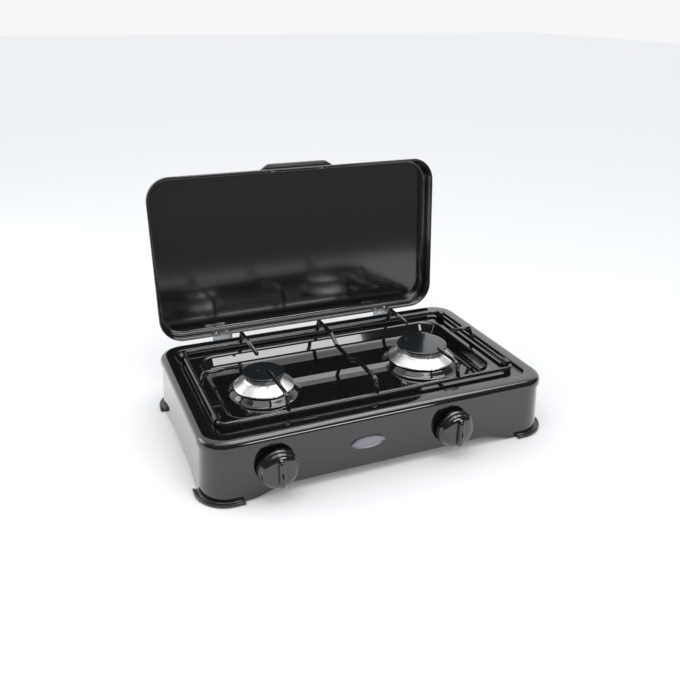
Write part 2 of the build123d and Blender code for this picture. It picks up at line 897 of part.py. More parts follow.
frame_space = frame_form(wire_radius + fit_clearance)
front_knee = frame_front + knee_inset
back_knee = frame_back - knee_inset
dip_level = finger_height - bridge_dip
bridge_wire = wire_form(
    [
        (0, frame_back, frame_height),
        (0, back_knee, finger_height),
        (0, bridge_dip_back + bridge_ramp, finger_height),
        (0, bridge_dip_back, dip_level),
        (0, bridge_dip_front, dip_level),
        (0, bridge_dip_front - bridge_ramp, finger_height),
        (0, front_knee, finger_height),
        (0, frame_front, frame_height),
    ],
    knee_bend,
    wire_radius,
)
with BuildPart() as support_bridge:
    add(bridge_wire)
    add(frame_space, mode=Mode.SUBTRACT)
save(support_bridge.part, "support_bridge")


def finger_points(burner, tip_radius):
    """Return the routes of one burner's three fingers, from the frame to their tips."""
    x = burner.x
    side = burner.side
    return [
        [
            (x, frame_back, frame_height),
            (x, back_knee, finger_height),
            (x, burner_y + tip_radius, finger_height),
        ],
        [
            (x, frame_front, frame_height),
            (x, front_knee, finger_height),
            (x, burner_y - tip_radius, finger_height),
        ],
        [
            (side * half_frame_x, burner_y, frame_height),
            (side * (half_frame_x - knee_inset), burner_y, finger_height),
            (x + side * tip_radius, burner_y, finger_height),
        ],
    ]


for side_name, tip_radius in (("left", left_tip_radius), ("right", right_tip_radius)):
    finger_wires = [
        wire_form(points, knee_bend, wire_radius)
        for points in finger_points(burners[side_name], tip_radius)
    ]
    with BuildPart() as fingers:
        for wire in finger_wires:
            add(wire)
        add(frame_space, mode=Mode.SUBTRACT)
    save(fingers.part, f"{side_name}_fingers")

with BuildPart() as support_sleeves:
    for centre_y in (frame_front + sleeve_from_corner, frame_back - sleeve_from_corner):
        with Locations(Plane.XZ.offset(-centre_y)):
            with Locations((-half_frame_x, frame_height), (half_frame_x, frame_height)):
                Cylinder(sleeve_radius, sleeve_length)
                Cylinder(wire_radius, sleeve_length, mode=Mode.SUBTRACT)
save(support_sleeves.part, "support_sleeves")

# ---- Ledge buffers ----
buffer_y = -step_width / 2 + buffer_width
with BuildPart() as ledge_buffers:
    with Locations((-buffer_x, buffer_y, ledge_height), (buffer_x, buffer_y, ledge_height)):
        Box(
            buffer_length,
            buffer_width,
            buffer_height,
            align=(Align.CENTER, Align.CENTER, Align.MIN),
        )
    fillet(ledge_buffers.faces().group_by(Axis.Z)[-1].edges(), buffer_edge)
save(ledge_buffers.part, "ledge_buffers")

# ---- Lid ----
lid_skin = tray_form(
    lid_plane,
    shell_length,
    shell_width,
    lid_corner - bead_bulge,
    rim_height,
    rim_height + lid_depth,
    lid_edge,
    lid_centre_y,
)
lid_hollow = tray_form(
    lid_plane,
    shell_length - 2 * sheet,
    shell_width - 2 * sheet,
    lid_corner - bead_bulge - sheet,
    rim_height,
    rim_height + lid_depth - sheet,
    lid_edge - sheet,
    lid_centre_y,
)
bead_level = rim_height + lid_bead
bead_x = lid_length / 2 - lid_bead
bead_back = -lid_rear_inset - lid_bead
bead_front = bead_back - lid_width + 2 * lid_bead
with BuildPart() as rim_bead:
    with BuildLine(lid_plane.offset(bead_level)) as bead_route:
        FilletPolyline(
            (bead_x, bead_front),
            (bead_x, bead_back),
            (-bead_x, bead_back),
            (-bead_x, bead_front),
            radius=lid_corner - lid_bead,
            close=True,
        )
    with BuildSketch(Plane(origin=bead_route.line @ 0, z_dir=bead_route.line % 0)):
        Circle(lid_bead)
    sweep()

leaf_inner_face = lid_rear_wall - sheet
lid_leaf_rivet_level = rim_height + lid_leaf_height - rivet_edge
lid_across = Plane(origin=lid_plane.origin, x_dir=lid_plane.x_dir, z_dir=lid_plane.y_dir)
lid_rivet_places = [
    (side * hinge_x + offset, -lid_leaf_rivet_level)
    for side in (-1, 1)
    for offset in (-rivet_spacing / 2, rivet_spacing / 2)
]
handle_level = rim_height + 2 * lid_bead + handle_lift
handle_screw_level = handle_level + handle_thickness / 2
handle_front = lid_front_wall - bead_bulge - handle_reach
handle_screw_places = [
    (-handle_screw_spacing / 2, -handle_screw_level),
    (handle_screw_spacing / 2, -handle_screw_level),
]
with BuildPart() as lid_shell:
    add(lid_skin)
    add(rim_bead.part)
    add(lid_hollow, mode=Mode.SUBTRACT)
    with Locations(lid_across.offset(lid_rear_wall)):
        with Locations(*lid_rivet_places):
            Cylinder(rivet_radius + fit_clearance, through, mode=Mode.SUBTRACT)
    with Locations(lid_across.offset(lid_front_wall)):
        with Locations(*handle_screw_places):
            Cylinder(screw_radius + fit_clearance, through, mode=Mode.SUBTRACT)
save(lid_shell.part, "lid_shell")

with BuildPart() as lid_handle:
    with BuildSketch(lid_plane.offset(handle_level)):
        with BuildLine():
            Polyline(
                (-handle_length / 2, lid_front_wall),
                (handle_taper - handle_length / 2, handle_front),
                (handle_length / 2 - handle_taper, handle_front),
                (handle_length / 2, lid_front_wall),
                close=True,
            )
        grip = make_face()
        fillet(grip.vertices().group_by(Axis.Y)[0], handle_round)
    extrude(amount=handle_thickness)
    fillet(lid_handle.edges().group_by(Axis(lid_plane.origin, lid_plane.y_dir))[0], handle_edge)
    with Locations(lid_across.offset(lid_front_wall)):
        with Locations(*handle_screw_places):
            Cylinder(screw_radius, 2 * handle_screw_depth, mode=Mode.SUBTRACT)
save(lid_handle.part, "lid_handle")

with BuildPart() as handle_screws:
    with Locations(lid_across.offset(lid_front_wall + sheet)):
        with Locations(*handle_screw_places):
            Cylinder(
                screw_radius - fit_clearance,
                sheet + handle_screw_depth,
                align=(Align.CENTER, Align.CENTER, Align.MAX),
            )
            Cylinder(
                screw_head_radius,
                screw_head_height,
                align=(Align.CENTER, Align.CENTER, Align.MIN),
            )
save(handle_screws.part, "handle_screws")


# ---- Hinges ----
knuckle_width = hinge_width * knuckle_share
outer_knuckle = (hinge_width - knuckle_width) / 2 - knuckle_gap
outer_knuckle_x = (knuckle_width + outer_knuckle) / 2 + knuckle_gap
wall_face_y = body_width / 2 - wall_offset(hinge_height)


def hinge_section(x):
    """Return the plane across the hinge axis at a place along it."""
    return Plane(origin=(x, hinge_y, hinge_height), x_dir=(0, 1, 0), z_dir=(1, 0, 0))


def barrel(x, length):
    """Return one knuckle of a hinge, a round tube on the pin's axis."""
    with BuildPart() as tube:
        with BuildSketch(hinge_section(x)):
            Circle(barrel_radius)
            Circle(pin_radius + pin_clearance, mode=Mode.SUBTRACT)
        extrude(amount=length / 2, both=True)
    return tube.part


def pin_hole(x):
    """Return the space that the pin needs right across a hinge."""
    with BuildPart() as hole:
        with BuildSketch(hinge_section(x)):
            Circle(pin_radius + pin_clearance)
        extrude(amount=hinge_width, both=True)
    return hole.part


def wall_leaf(x):
    """Return the leaf on the casing's rear wall, with the middle knuckle."""
    knuckle = barrel(x, knuckle_width)
    space = pin_hole(x)
    leaf_front = wall_face_y - sheet
    leaf_back = wall_face_y + leaf_thickness + leaf_gap
    with BuildPart() as leaf:
        with Locations((x, leaf_front, leaf_top)):
            Box(
                hinge_width,
                leaf_back - leaf_front,
                wall_leaf_height,
                align=(Align.CENTER, Align.MIN, Align.MAX),
            )
        with Locations((x, leaf_front, leaf_top)):
            Box(
                knuckle_width,
                hinge_y - leaf_front,
                leaf_thickness,
                align=(Align.CENTER, Align.MIN, Align.MIN),
            )
        add(knuckle)
        add(casing_outer, mode=Mode.SUBTRACT)
        add(space, mode=Mode.SUBTRACT)
        with Locations(along_y(x, wall_face_y, leaf_middle)):
            with GridLocations(rivet_spacing, 1, 2, 1):
                Cylinder(rivet_radius + fit_clearance, wall_cut, mode=Mode.SUBTRACT)
    return leaf.part


def wall_rivets(x):
    """Return the rivets that hold a leaf to the casing's rear wall."""
    head_face = wall_face_y + leaf_thickness + leaf_gap
    shank_start = head_face - 2 * (leaf_thickness + leaf_gap) - sheet
    with BuildPart() as rivets:
        with BuildSketch(along_y(x, head_face, leaf_middle)):
            with GridLocations(rivet_spacing, 1, 2, 1):
                Circle(rivet_head_radius)
        extrude(amount=rivet_head_height)
        with BuildSketch(along_y(x, shank_start, leaf_middle)):
            with GridLocations(rivet_spacing, 1, 2, 1):
                Circle(rivet_radius)
        extrude(amount=head_face - shank_start)
    return rivets.part


def lid_leaf(x):
    """Return the leaf on the lid's rear wall, joggled under the rim to two knuckles."""
    knuckles = [barrel(x + side * outer_knuckle_x, outer_knuckle) for side in (-1, 1)]
    space = pin_hole(x)
    under_rim = rim_height - leaf_gap
    leaf_profile = Plane(origin=lid_plane.origin, x_dir=lid_plane.y_dir, z_dir=lid_plane.x_dir)
    with BuildPart() as leaf:
        with BuildSketch(leaf_profile.offset(x)):
            with BuildLine():
                Polyline(
                    (barrel_radius - leaf_thickness, 0),
                    (barrel_radius, 0),
                    (barrel_radius, under_rim),
                    (leaf_inner_face, under_rim),
                    (leaf_inner_face, rim_height + lid_leaf_height),
                    (leaf_inner_face - leaf_thickness, rim_height + lid_leaf_height),
                    (leaf_inner_face - leaf_thickness, under_rim - leaf_thickness),
                    (barrel_radius - leaf_thickness, under_rim - leaf_thickness),
                    close=True,
                )
            make_face()
        extrude(amount=hinge_width / 2, both=True)
        with BuildSketch(leaf_profile.offset(x)):
            Rectangle(3 * barrel_radius, 3 * barrel_radius)
        extrude(amount=knuckle_width / 2 + knuckle_gap, both=True, mode=Mode.SUBTRACT)
        for knuckle in knuckles:
            add(knuckle)
        add(space, mode=Mode.SUBTRACT)
        with Locations(lid_across.offset(lid_rear_wall)):
            with Locations(*lid_rivet_places):
                Cylinder(rivet_radius + fit_clearance, 2 * through, mode=Mode.SUBTRACT)
    return leaf.part


def lid_rivets(x):
    """Return the rivets that hold a leaf inside the lid's rear wall."""
    head_face = leaf_inner_face - leaf_thickness
    with BuildPart() as rivets:
        for offset in (-rivet_spacing / 2, rivet_spacing / 2):
            with BuildSketch(lid_across.offset(head_face)):
                with Locations((x + offset, -lid_leaf_rivet_level)):
                    Circle(rivet_head_radius)
            extrude(amount=-rivet_head_height)
            with BuildSketch(lid_across.offset(head_face)):
                with Locations((x + offset, -lid_leaf_rivet_level)):
                    Circle(rivet_radius)
            extrude(amount=leaf_thickness + sheet)
    return rivets.part


def hinge_pin(x):
    """Return the pin through the three knuckles."""
    with BuildPart() as pin:
        with BuildSketch(hinge_section(x)):
            Circle(pin_radius)
        extrude(amount=hinge_width / 2, both=True)
    return pin.part


for side_name, side in (("left", -1), ("right", 1)):
    hinge_centre = side * hinge_x
    save(wall_leaf(hinge_centre), f"{side_name}_wall_leaf")
    save(wall_rivets(hinge_centre), f"{side_name}_wall_rivets")
    save(lid_leaf(hinge_centre), f"{side_name}_lid_leaf")
    save(lid_rivets(hinge_centre), f"{side_name}_lid_rivets")
    save(hinge_pin(hinge_centre), f"{side_name}_hinge_pin")
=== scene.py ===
"""Dressed model of a two-burner table-top gas hob with its lid open.

Every piece is built in metres in the row's frame: front is -Y, right is +X, up is +Z.
"""

import json
import logging
import math
from dataclasses import dataclass, field
from enum import Enum

import bpy
import numpy as np
from mathutils import Matrix, Vector


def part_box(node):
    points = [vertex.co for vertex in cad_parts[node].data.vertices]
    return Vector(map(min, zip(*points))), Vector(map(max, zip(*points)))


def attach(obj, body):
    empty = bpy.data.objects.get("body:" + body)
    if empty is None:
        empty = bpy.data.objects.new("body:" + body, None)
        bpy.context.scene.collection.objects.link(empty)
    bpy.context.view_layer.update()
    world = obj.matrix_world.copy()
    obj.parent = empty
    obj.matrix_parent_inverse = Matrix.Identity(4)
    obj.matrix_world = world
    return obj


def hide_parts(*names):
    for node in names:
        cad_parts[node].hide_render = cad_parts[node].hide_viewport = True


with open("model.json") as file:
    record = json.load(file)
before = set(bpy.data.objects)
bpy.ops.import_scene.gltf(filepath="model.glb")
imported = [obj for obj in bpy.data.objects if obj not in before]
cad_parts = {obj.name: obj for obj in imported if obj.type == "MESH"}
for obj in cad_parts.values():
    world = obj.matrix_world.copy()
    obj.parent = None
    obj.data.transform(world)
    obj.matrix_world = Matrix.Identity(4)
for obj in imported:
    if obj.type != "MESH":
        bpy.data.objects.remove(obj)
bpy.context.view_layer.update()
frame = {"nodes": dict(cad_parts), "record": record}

LOG = logging.getLogger("hob")
MM = 0.001
BURNER_X = 126.0 * MM
WHOLE_RUN = 0.98
HALF_RUN = 0.49
UP = np.array([0.0, 0.0, 1.0])


# ---------------------------------------------------------------- surfaces


class Closing(Enum):
    """Which directions of a grid join up with themselves."""

    NONE = (False, False)
    COLUMNS = (False, True)
    BOTH = (True, True)


def middle_y(node: str) -> float:
    """Return the middle of a CAD node's box along Y, in metres."""
    low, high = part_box(node)
    return (low[1] + high[1]) / 2


BODY_Y = middle_y("hob_top")


def grid_faces(rows: int, columns: int, closing: Closing) -> np.ndarray:
    """Return the quads of a grid, each as four indices into its row-major points.

    Args:
        rows: how many rows of points there are.
        columns: how many points each row has.
        closing: which directions wrap round.

    Returns:
        An array of quads, turned so that column direction times row direction is the normal.
    """
    wrap_rows, wrap_columns = closing.value
    row = np.arange(rows if wrap_rows else rows - 1)
    column = np.arange(columns if wrap_columns else columns - 1)
    i, j = np.meshgrid(row, column, indexing="ij")
    next_i = (i + 1) % rows
    next_j = (j + 1) % columns
    quads = [i * columns + j, i * columns + next_j, next_i * columns + next_j, next_i * columns + j]
    return np.stack([q.ravel() for q in quads], axis=1)


@dataclass
class Surface:
    """Points and faces gathered for one mesh."""

    points: list[np.ndarray] = field(default_factory=list)
    quads: list[np.ndarray] = field(default_factory=list)
    rings: list[np.ndarray] = field(default_factory=list)

    def add_grid(self, grid: np.ndarray, closing: Closing, flip: bool = False) -> int:
        """Add a grid of points with its quads.

        Args:
            grid: points of shape (rows, columns, 3).
            closing: which directions wrap round.
            flip: turn the faces round.

        Returns:
            The index of the grid's first point.
        """
        start = sum(len(p) for p in self.points)
        rows, columns = grid.shape[:2]
        quads = grid_faces(rows, columns, closing) + start
        self.points.append(grid.reshape(-1, 3))
        self.quads.append(quads[:, ::-1] if flip else quads)
        return start

    def close_ends(self, start: int, grid: np.ndarray, both: bool = True, flip: bool = False) -> None:
        """Close the last row of a grid with one flat face, or the first row as well.

        Args:
            start: the index of the grid's first point.
            grid: a grid whose columns wrap round, of shape (rows, columns, 3).
            both: whether the first row is closed too.
            flip: whether the grid's faces were turned round.
        """
        rows, columns = grid.shape[:2]
        first = start + np.arange(columns)
        last = first + (rows - 1) * columns
        if both:
            self.rings.append(first if flip else first[::-1])
        self.rings.append(last[::-1] if flip else last)

    def build(self, name: str) -> bpy.types.Object:
        """Make the mesh object, smooth all over, at the origin.

        Args:
            name: the object's name.

        Returns:
            The mesh object, linked to the scene.
        """
        points = np.concatenate(self.points)
        quads = np.concatenate(self.quads)
        faces = [*quads.tolist(), *[ring.tolist() for ring in self.rings]]
        mesh = bpy.data.meshes.new(name)
        mesh.from_pydata(points.tolist(), [], faces)
        mesh.polygons.foreach_set("use_smooth", np.ones(len(faces), dtype=bool))
        mesh.validate()
        mesh.update()
        piece = bpy.data.objects.new(name, mesh)
        bpy.context.scene.collection.objects.link(piece)
        return piece


def rounded_loop(
    half_x: np.ndarray, half_y: np.ndarray, corner: np.ndarray, arc: int = 14, straight: int = 24
) -> np.ndarray:
    """Return points round rounded rectangles, anticlockwise seen from above.

    Each quarter arc is centre + r (cos a, sin a); each side is the line between two arcs' ends.

    Args:
        half_x: half lengths, one for each row.
        half_y: half widths, one for each row.
        corner: corner radii, one for each row.
        arc: steps in each quarter arc.
        straight: steps along each side.

    Returns:
        An array of shape (rows, columns, 2).
    """
    turns = np.linspace(0, math.pi / 2, arc + 1)
    signs = ((1, 1), (-1, 1), (-1, -1), (1, -1))
    parts = []
    for k, (sign_x, sign_y) in enumerate(signs):
        angle = turns + k * math.pi / 2
        x = (sign_x * (half_x - corner))[:, None] + corner[:, None] * np.cos(angle)
        y = (sign_y * (half_y - corner))[:, None] + corner[:, None] * np.sin(angle)
        parts.append(np.stack([x, y], axis=2))
    share = (np.arange(1, straight) / straight)[None, :, None]
    loop = []
    for k in range(4):
        here, there = parts[k], parts[(k + 1) % 4]
        loop.append(here)
        loop.append(here[:, -1:, :] * (1 - share) + there[:, :1, :] * share)
    return np.concatenate(loop, axis=1)


def eased(rows: np.ndarray, radii: list[float], steps: int = 8) -> np.ndarray:
    """Round the inner corners of a chain of rows with quadratic curves.

    A corner P becomes (1-t)^2 A + 2t(1-t) P + t^2 B, with A and B a radius away on each side. Of a
    run between two rounded corners each takes half at most, and of any other run nearly all.

    Args:
        rows: control rows of shape (count, numbers), whose last number is the height.
        radii: the rounding of each inner row, in metres; zero keeps the corner.
        steps: points along each curve.

    Returns:
        The longer chain of rows.
    """
    chain = [rows[:1]]
    t = np.linspace(0, 1, steps)[:, None]
    for k, radius in enumerate(radii, start=1):
        before, here, after = rows[k - 1], rows[k], rows[k + 1]
        if radius <= 0:
            chain.append(rows[k : k + 1])
            continue
        reach_in = np.hypot(before[0] - here[0], before[-1] - here[-1])
        reach_out = np.hypot(after[0] - here[0], after[-1] - here[-1])
        most_in = WHOLE_RUN if k == 1 or radii[k - 2] <= 0 else HALF_RUN
        most_out = WHOLE_RUN if k == len(radii) or radii[k] <= 0 else HALF_RUN
        start = here + (before - here) * min(radius / reach_in, most_in)
        end = here + (after - here) * min(radius / reach_out, most_out)
        chain.append((1 - t) ** 2 * start + 2 * t * (1 - t) * here + t**2 * end)
    chain.append(rows[-1:])
    return np.concatenate(chain)


def filleted_route(points: np.ndarray, bend: float, steps: int = 8) -> np.ndarray:
    """Return a route of straight runs joined by tangent arcs.

    At a corner with half turn h, the arc starts bend * tan(h) before the corner, and its points
    are centre + bend (cos, sin) in the plane of the two runs.

    Args:
        points: the route's corners, of shape (count, 3).
        bend: the arcs' radius, in metres.
        steps: points along each arc.

    Returns:
        The points along the route.
    """
    chain = [points[:1]]
    for before, here, after in zip(points[:-2], points[1:-1], points[2:]):
        into = (here - before) / np.linalg.norm(here - before)
        out = (after - here) / np.linalg.norm(after - here)
        turn = math.acos(float(np.clip(into @ out, -1, 1)))
        tangent = bend * math.tan(turn / 2)
        inward = (out - into) / np.linalg.norm(out - into)
        centre = here + inward * bend / math.cos(turn / 2)
        first = here - into * tangent - centre
        side = into * bend
        angle = np.linspace(0, turn, steps)[:, None]
        chain.append(centre + first * np.cos(angle) + side * np.sin(angle))
    chain.append(points[-1:])
    return np.concatenate(chain)


def swept_tube(
    route: np.ndarray, radius: float, binormal: np.ndarray, closed: bool = False, sides: int = 20
) -> np.ndarray:
    """Return a round tube along a flat route.

    Each ring is point + radius (cos a * N + sin a * B), with B the route plane's normal and
    N = B x T for the tangent T.

    Args:
        route: points along the middle of the tube.
        radius: the tube's radius, in metres.
        binormal: the unit normal of the plane that the route lies in.
        closed: whether the route joins up with itself.
        sides: points round the tube.

    Returns:
        A grid of shape (points, sides, 3).
    """
    if closed:
        tangent = np.roll(route, -1, axis=0) - np.roll(route, 1, axis=0)
    else:
        tangent = np.gradient(route, axis=0)
    tangent /= np.linalg.norm(tangent, axis=1, keepdims=True)
    normal = np.cross(binormal[None, :], tangent)
    angle = np.linspace(0, 2 * math.pi, sides, endpoint=False)
    ring_n = np.cos(angle)[None, :, None] * normal[:, None, :]
    ring_b = np.sin(angle)[None, :, None] * binormal[None, None, :]
    return route[:, None, :] + radius * (ring_n + ring_b)


def revolved(profile: np.ndarray, columns: int) -> np.ndarray:
    """Return a profile turned round Z, as a grid of (r cos a, r sin a, z).

    Args:
        profile: pairs of radius and height.
        columns: points round the axis.

    Returns:
        A grid of shape (profile points, columns, 3).
    """
    angle = np.linspace(0, 2 * math.pi, columns, endpoint=False)
    radius = profile[:, 0][:, None]
    height = np.broadcast_to(profile[:, 1][:, None], (len(profile), columns))
    return np.stack([radius * np.cos(angle), radius * np.sin(angle), height], axis=2)


def beside(radius: float, height: float, steps: tuple[tuple[float, float], ...]) -> list:
    """Return profile points that stand a few millimetres from one place.

    Args:
        radius: the place's radius, in metres.
        height: the place's height, in metres.
        steps: for each point, how far out and up it stands, in millimetres.

    Returns:
        Pairs of radius and height, in metres.
    """
    return [(radius + out * MM, height + up * MM) for out, up in steps]


def mark_haze(piece: bpy.types.Object, haze: float) -> None:
    """Write how hazy a piece's enamel is, from 0 to 1, on each of its points."""
    layer = piece.data.attributes.new("haze", "FLOAT", "POINT")
    layer.data.foreach_set("value", np.full(len(piece.data.vertices), haze))


def thicken(piece: bpy.types.Object, thickness: float) -> None:
    """Give a sheet its thickness, on the side away from its faces."""
    wall = piece.modifiers.new("sheet", "SOLIDIFY")
    wall.thickness = thickness
    wall.offset = -1.0
    wall.use_even_offset = False


def soften(piece: bpy.types.Object, width: float) -> None:
    """Round a piece's sharp edges by a small width."""
    edges = piece.modifiers.new("soft_edges", "BEVEL")
    edges.width = width
    edges.segments = 2
    edges.limit_method = "ANGLE"


# ---------------------------------------------------------------- finishes


class Tree:
    """Short ways to add nodes to one material."""

    def __init__(self, name: str) -> None:
        """Start a material with a Principled shader.

        Args:
            name: the material's name.
        """
        self.material = bpy.data.materials.new(name)
        self.material.use_nodes = True
        self.nodes = self.material.node_tree.nodes
        self.links = self.material.node_tree.links
        self.shader = self.nodes["Principled BSDF"]

    def node(self, kind: str, **settings: object) -> bpy.types.Node:
        """Add a node and set its properties."""
        made = self.nodes.new(kind)
        for key, value in settings.items():
            setattr(made, key, value)
        return made

    def noise(
        self, scale: float, detail: float, stretch: tuple[float, float, float] = (1, 1, 1)
    ) -> bpy.types.Node:
        """Add a noise texture on Object coordinates.

        Args:
            scale: waves for each metre.
            detail: octaves.
            stretch: how the pattern is scaled along each axis.

        Returns:
            The noise node.
        """
        place = self.node("ShaderNodeTexCoord")
        mapping = self.node("ShaderNodeMapping")
        mapping.inputs["Scale"].default_value = stretch
        texture = self.node("ShaderNodeTexNoise")
        texture.inputs["Scale"].default_value = scale
        texture.inputs["Detail"].default_value = detail
        self.links.new(place.outputs["Object"], mapping.inputs["Vector"])
        self.links.new(mapping.outputs["Vector"], texture.inputs["Vector"])
        return texture

    def ramp(
        self, source: bpy.types.Node, low: tuple, high: tuple, span: tuple = (0.3, 0.7)
    ) -> bpy.types.Node:
        """Add a colour ramp between two colours, driven by a noise node.

        Args:
            source: the noise node.
            low: the first colour.
            high: the second colour.
            span: where the ramp starts and ends.

        Returns:
            The ramp node.
        """
        ramp = self.node("ShaderNodeValToRGB")
        ramp.color_ramp.elements[0].position = span[0]
        ramp.color_ramp.elements[1].position = span[1]
        ramp.color_ramp.elements[0].color = (*low, 1)
        ramp.color_ramp.elements[1].color = (*high, 1)
        self.links.new(source.outputs["Fac"], ramp.inputs["Fac"])
        return ramp

    def tint(self, source: bpy.types.Node, low: tuple, high: tuple) -> None:
        """Colour the surface between two tones, by a noise node."""
        colour = self.ramp(source, low, high)
        self.links.new(colour.outputs["Color"], self.shader.inputs["Base Color"])

    def bump(self, source: bpy.types.Node, strength: float, distance: float) -> None:
        """Raise the surface by a noise node."""
        bump = self.node("ShaderNodeBump")
        bump.inputs["Strength"].default_value = strength
        bump.inputs["Distance"].default_value = distance
        self.links.new(source.outputs["Fac"], bump.inputs["Height"])
        self.links.new(bump.outputs["Normal"], self.shader.inputs["Normal"])

    def values(self, **sockets: float) -> None:
        """Set the shader's sockets, with underscores for the spaces in their names."""
        for key, value in sockets.items():
            self.shader.inputs[key.replace("_", " ")].default_value = value


@dataclass(frozen=True)
class Enamel:
    """Fired black enamel: a dark base, a clear glassy coat and a faint ripple.

    A piece's haze attribute carries both roughnesses up to the hazy one. The mottle is the darkest
    speck's share of the tone, and the scales are waves for each metre.
    """

    name: str
    tone: tuple[float, float, float]
    roughness: float = 0.07
    coat: float = 1.0
    ripple: float = 0.00012
    ripple_scale: float = 28.0
    coat_roughness: float = 0.02
    hazy: float = 0.12
    mottle_scale: float = 90.0
    mottle: float = 0.75
    index: float = 1.5
    coat_index: float = 1.45
    ripple_strength: float = 0.5

    def make(self) -> bpy.types.Material:
        """Build the enamel's material.

        Returns:
            The material.
        """
        tree = Tree(self.name)
        darker = tuple(self.mottle * c for c in self.tone)
        tree.tint(tree.noise(self.mottle_scale, 3.0), darker, self.tone)
        tree.values(IOR=self.index, Coat_Weight=self.coat, Coat_IOR=self.coat_index)
        haze = tree.node("ShaderNodeAttribute", attribute_name="haze")
        for socket, clear in (("Roughness", self.roughness), ("Coat Roughness", self.coat_roughness)):
            spread = tree.node("ShaderNodeMapRange")
            spread.inputs["To Min"].default_value = clear
            spread.inputs["To Max"].default_value = self.hazy
            tree.links.new(haze.outputs["Fac"], spread.inputs["Value"])
            tree.links.new(spread.outputs["Result"], tree.shader.inputs[socket])
        tree.bump(tree.noise(self.ripple_scale, 1.5), self.ripple_strength, self.ripple)
        return tree.material


@dataclass(frozen=True)
class Metal:
    """A bare metal with turning or drawing marks along one axis.

    The spread is how far the roughness goes either way, in patches that are some grains wide.
    """

    name: str
    tone: tuple[float, float, float]
    roughness: float
    grain: float = 600.0
    stretch: tuple[float, float, float] = (1.0, 1.0, 1.0)
    relief: float = 0.00003
    spread: float = 0.08
    mottle: float = 0.86
    least: float = 0.02
    patches: float = 6.0
    relief_strength: float = 0.35

    def make(self) -> bpy.types.Material:
        """Build the metal's material.

        Returns:
            The material.
        """
        tree = Tree(self.name)
        marks = tree.noise(self.grain, 4.0, self.stretch)
        tree.tint(marks, tuple(self.mottle * c for c in self.tone), self.tone)
        tree.values(Metallic=1.0)
        low = (max(self.roughness - self.spread, self.least),) * 3
        high = (self.roughness + self.spread,) * 3
        gloss = tree.ramp(tree.noise(self.grain / self.patches, 3.0, self.stretch), low, high)
        tree.links.new(gloss.outputs["Color"], tree.shader.inputs["Roughness"])
        tree.bump(marks, self.relief_strength, self.relief)
        return tree.material


@dataclass(frozen=True)
class Moulding:
    """Moulded plastic or rubber with a fine grain and pale clouds, some times the tone."""

    name: str
    tone: tuple[float, float, float]
    roughness: float
    grain: float = 900.0
    relief: float = 0.00002
    coat: float = 0.0
    coat_roughness: float = 0.03
    cloud_scale: float = 60.0
    cloud: float = 1.35
    index: float = 1.5
    relief_strength: float = 0.3

    def make(self) -> bpy.types.Material:
        """Build the moulding's material.

        Returns:
            The material.
        """
        tree = Tree(self.name)
        lighter = tuple(self.cloud * c for c in self.tone)
        tree.tint(tree.noise(self.cloud_scale, 4.0), self.tone, lighter)
        tree.values(Roughness=self.roughness, IOR=self.index)
        tree.values(Coat_Weight=self.coat, Coat_Roughness=self.coat_roughness)
        tree.bump(tree.noise(self.grain, 3.0), self.relief_strength, self.relief)
        return tree.material


FINISHES: dict[str, Enamel | Metal | Moulding] = {
    "enamel_black": Enamel("black_enamel", (0.006, 0.0062, 0.0068)),
    "cap_enamel": Enamel("cap_enamel", (0.012, 0.015, 0.018), roughness=0.16, coat=0.6),
    "wire_black": Enamel(
        "wire_enamel", (0.006, 0.006, 0.0065), roughness=0.16, ripple=0.00003, coat_roughness=0.06
    ),
    "foot_black": Moulding("foot_rubber", (0.008, 0.008, 0.008), 0.22, coat=0.4),
    "knob_black": Moulding("knob_moulding", (0.006, 0.006, 0.0065), 0.07, coat=1.0),
    "handle_black": Moulding("handle_moulding", (0.010, 0.010, 0.011), 0.3, coat=0.1),
    "bright_aluminium": Metal("bright_aluminium", (0.95, 0.95, 0.96), 0.32, spread=0.05),
    "cast_aluminium": Metal("cast_aluminium", (0.55, 0.55, 0.56), 0.5, 300.0, relief=0.00015),
    "zinc_plate": Metal("zinc_plate", (0.88, 0.91, 0.94), 0.3),
    "steel_tube": Metal("steel_tube", (0.48, 0.48, 0.50), 0.35),
    "spring_steel": Metal("spring_steel", (0.45, 0.45, 0.47), 0.3),
    "brass": Metal("brass", (0.75, 0.52, 0.22), 0.3),
    "satin_silver": Metal("satin_silver", (0.30, 0.30, 0.33), 0.38, 500.0, (0.08, 1.0, 1.0)),
}
MATERIALS: dict[str, bpy.types.Material] = {}


def finish_for(slot: str) -> bpy.types.Material:
    """Return the material of a slot, made once."""
    if slot not in MATERIALS:
        MATERIALS[slot] = FINISHES[slot].make()
    return MATERIALS[slot]


def place(piece: bpy.types.Object, body: str, slot: str, *nodes: str) -> bpy.types.Object:
    """Dress a piece, let it ride on its body and hide the CAD nodes that it stands for.

    Args:
        piece: the finished mesh object.
        body: the body that it moves with.
        slot: the record's material slot.
        nodes: the CAD nodes that it replaces.

    Returns:
        The piece.
    """
    piece.data.materials.clear()
    piece.data.materials.append(finish_for(slot))
    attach(piece, body)
    if nodes:
        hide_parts(*nodes)
    LOG.info("%s: %d faces, slot %s", piece.name, len(piece.data.polygons), slot)
    return piece


# ---------------------------------------------------------------- body


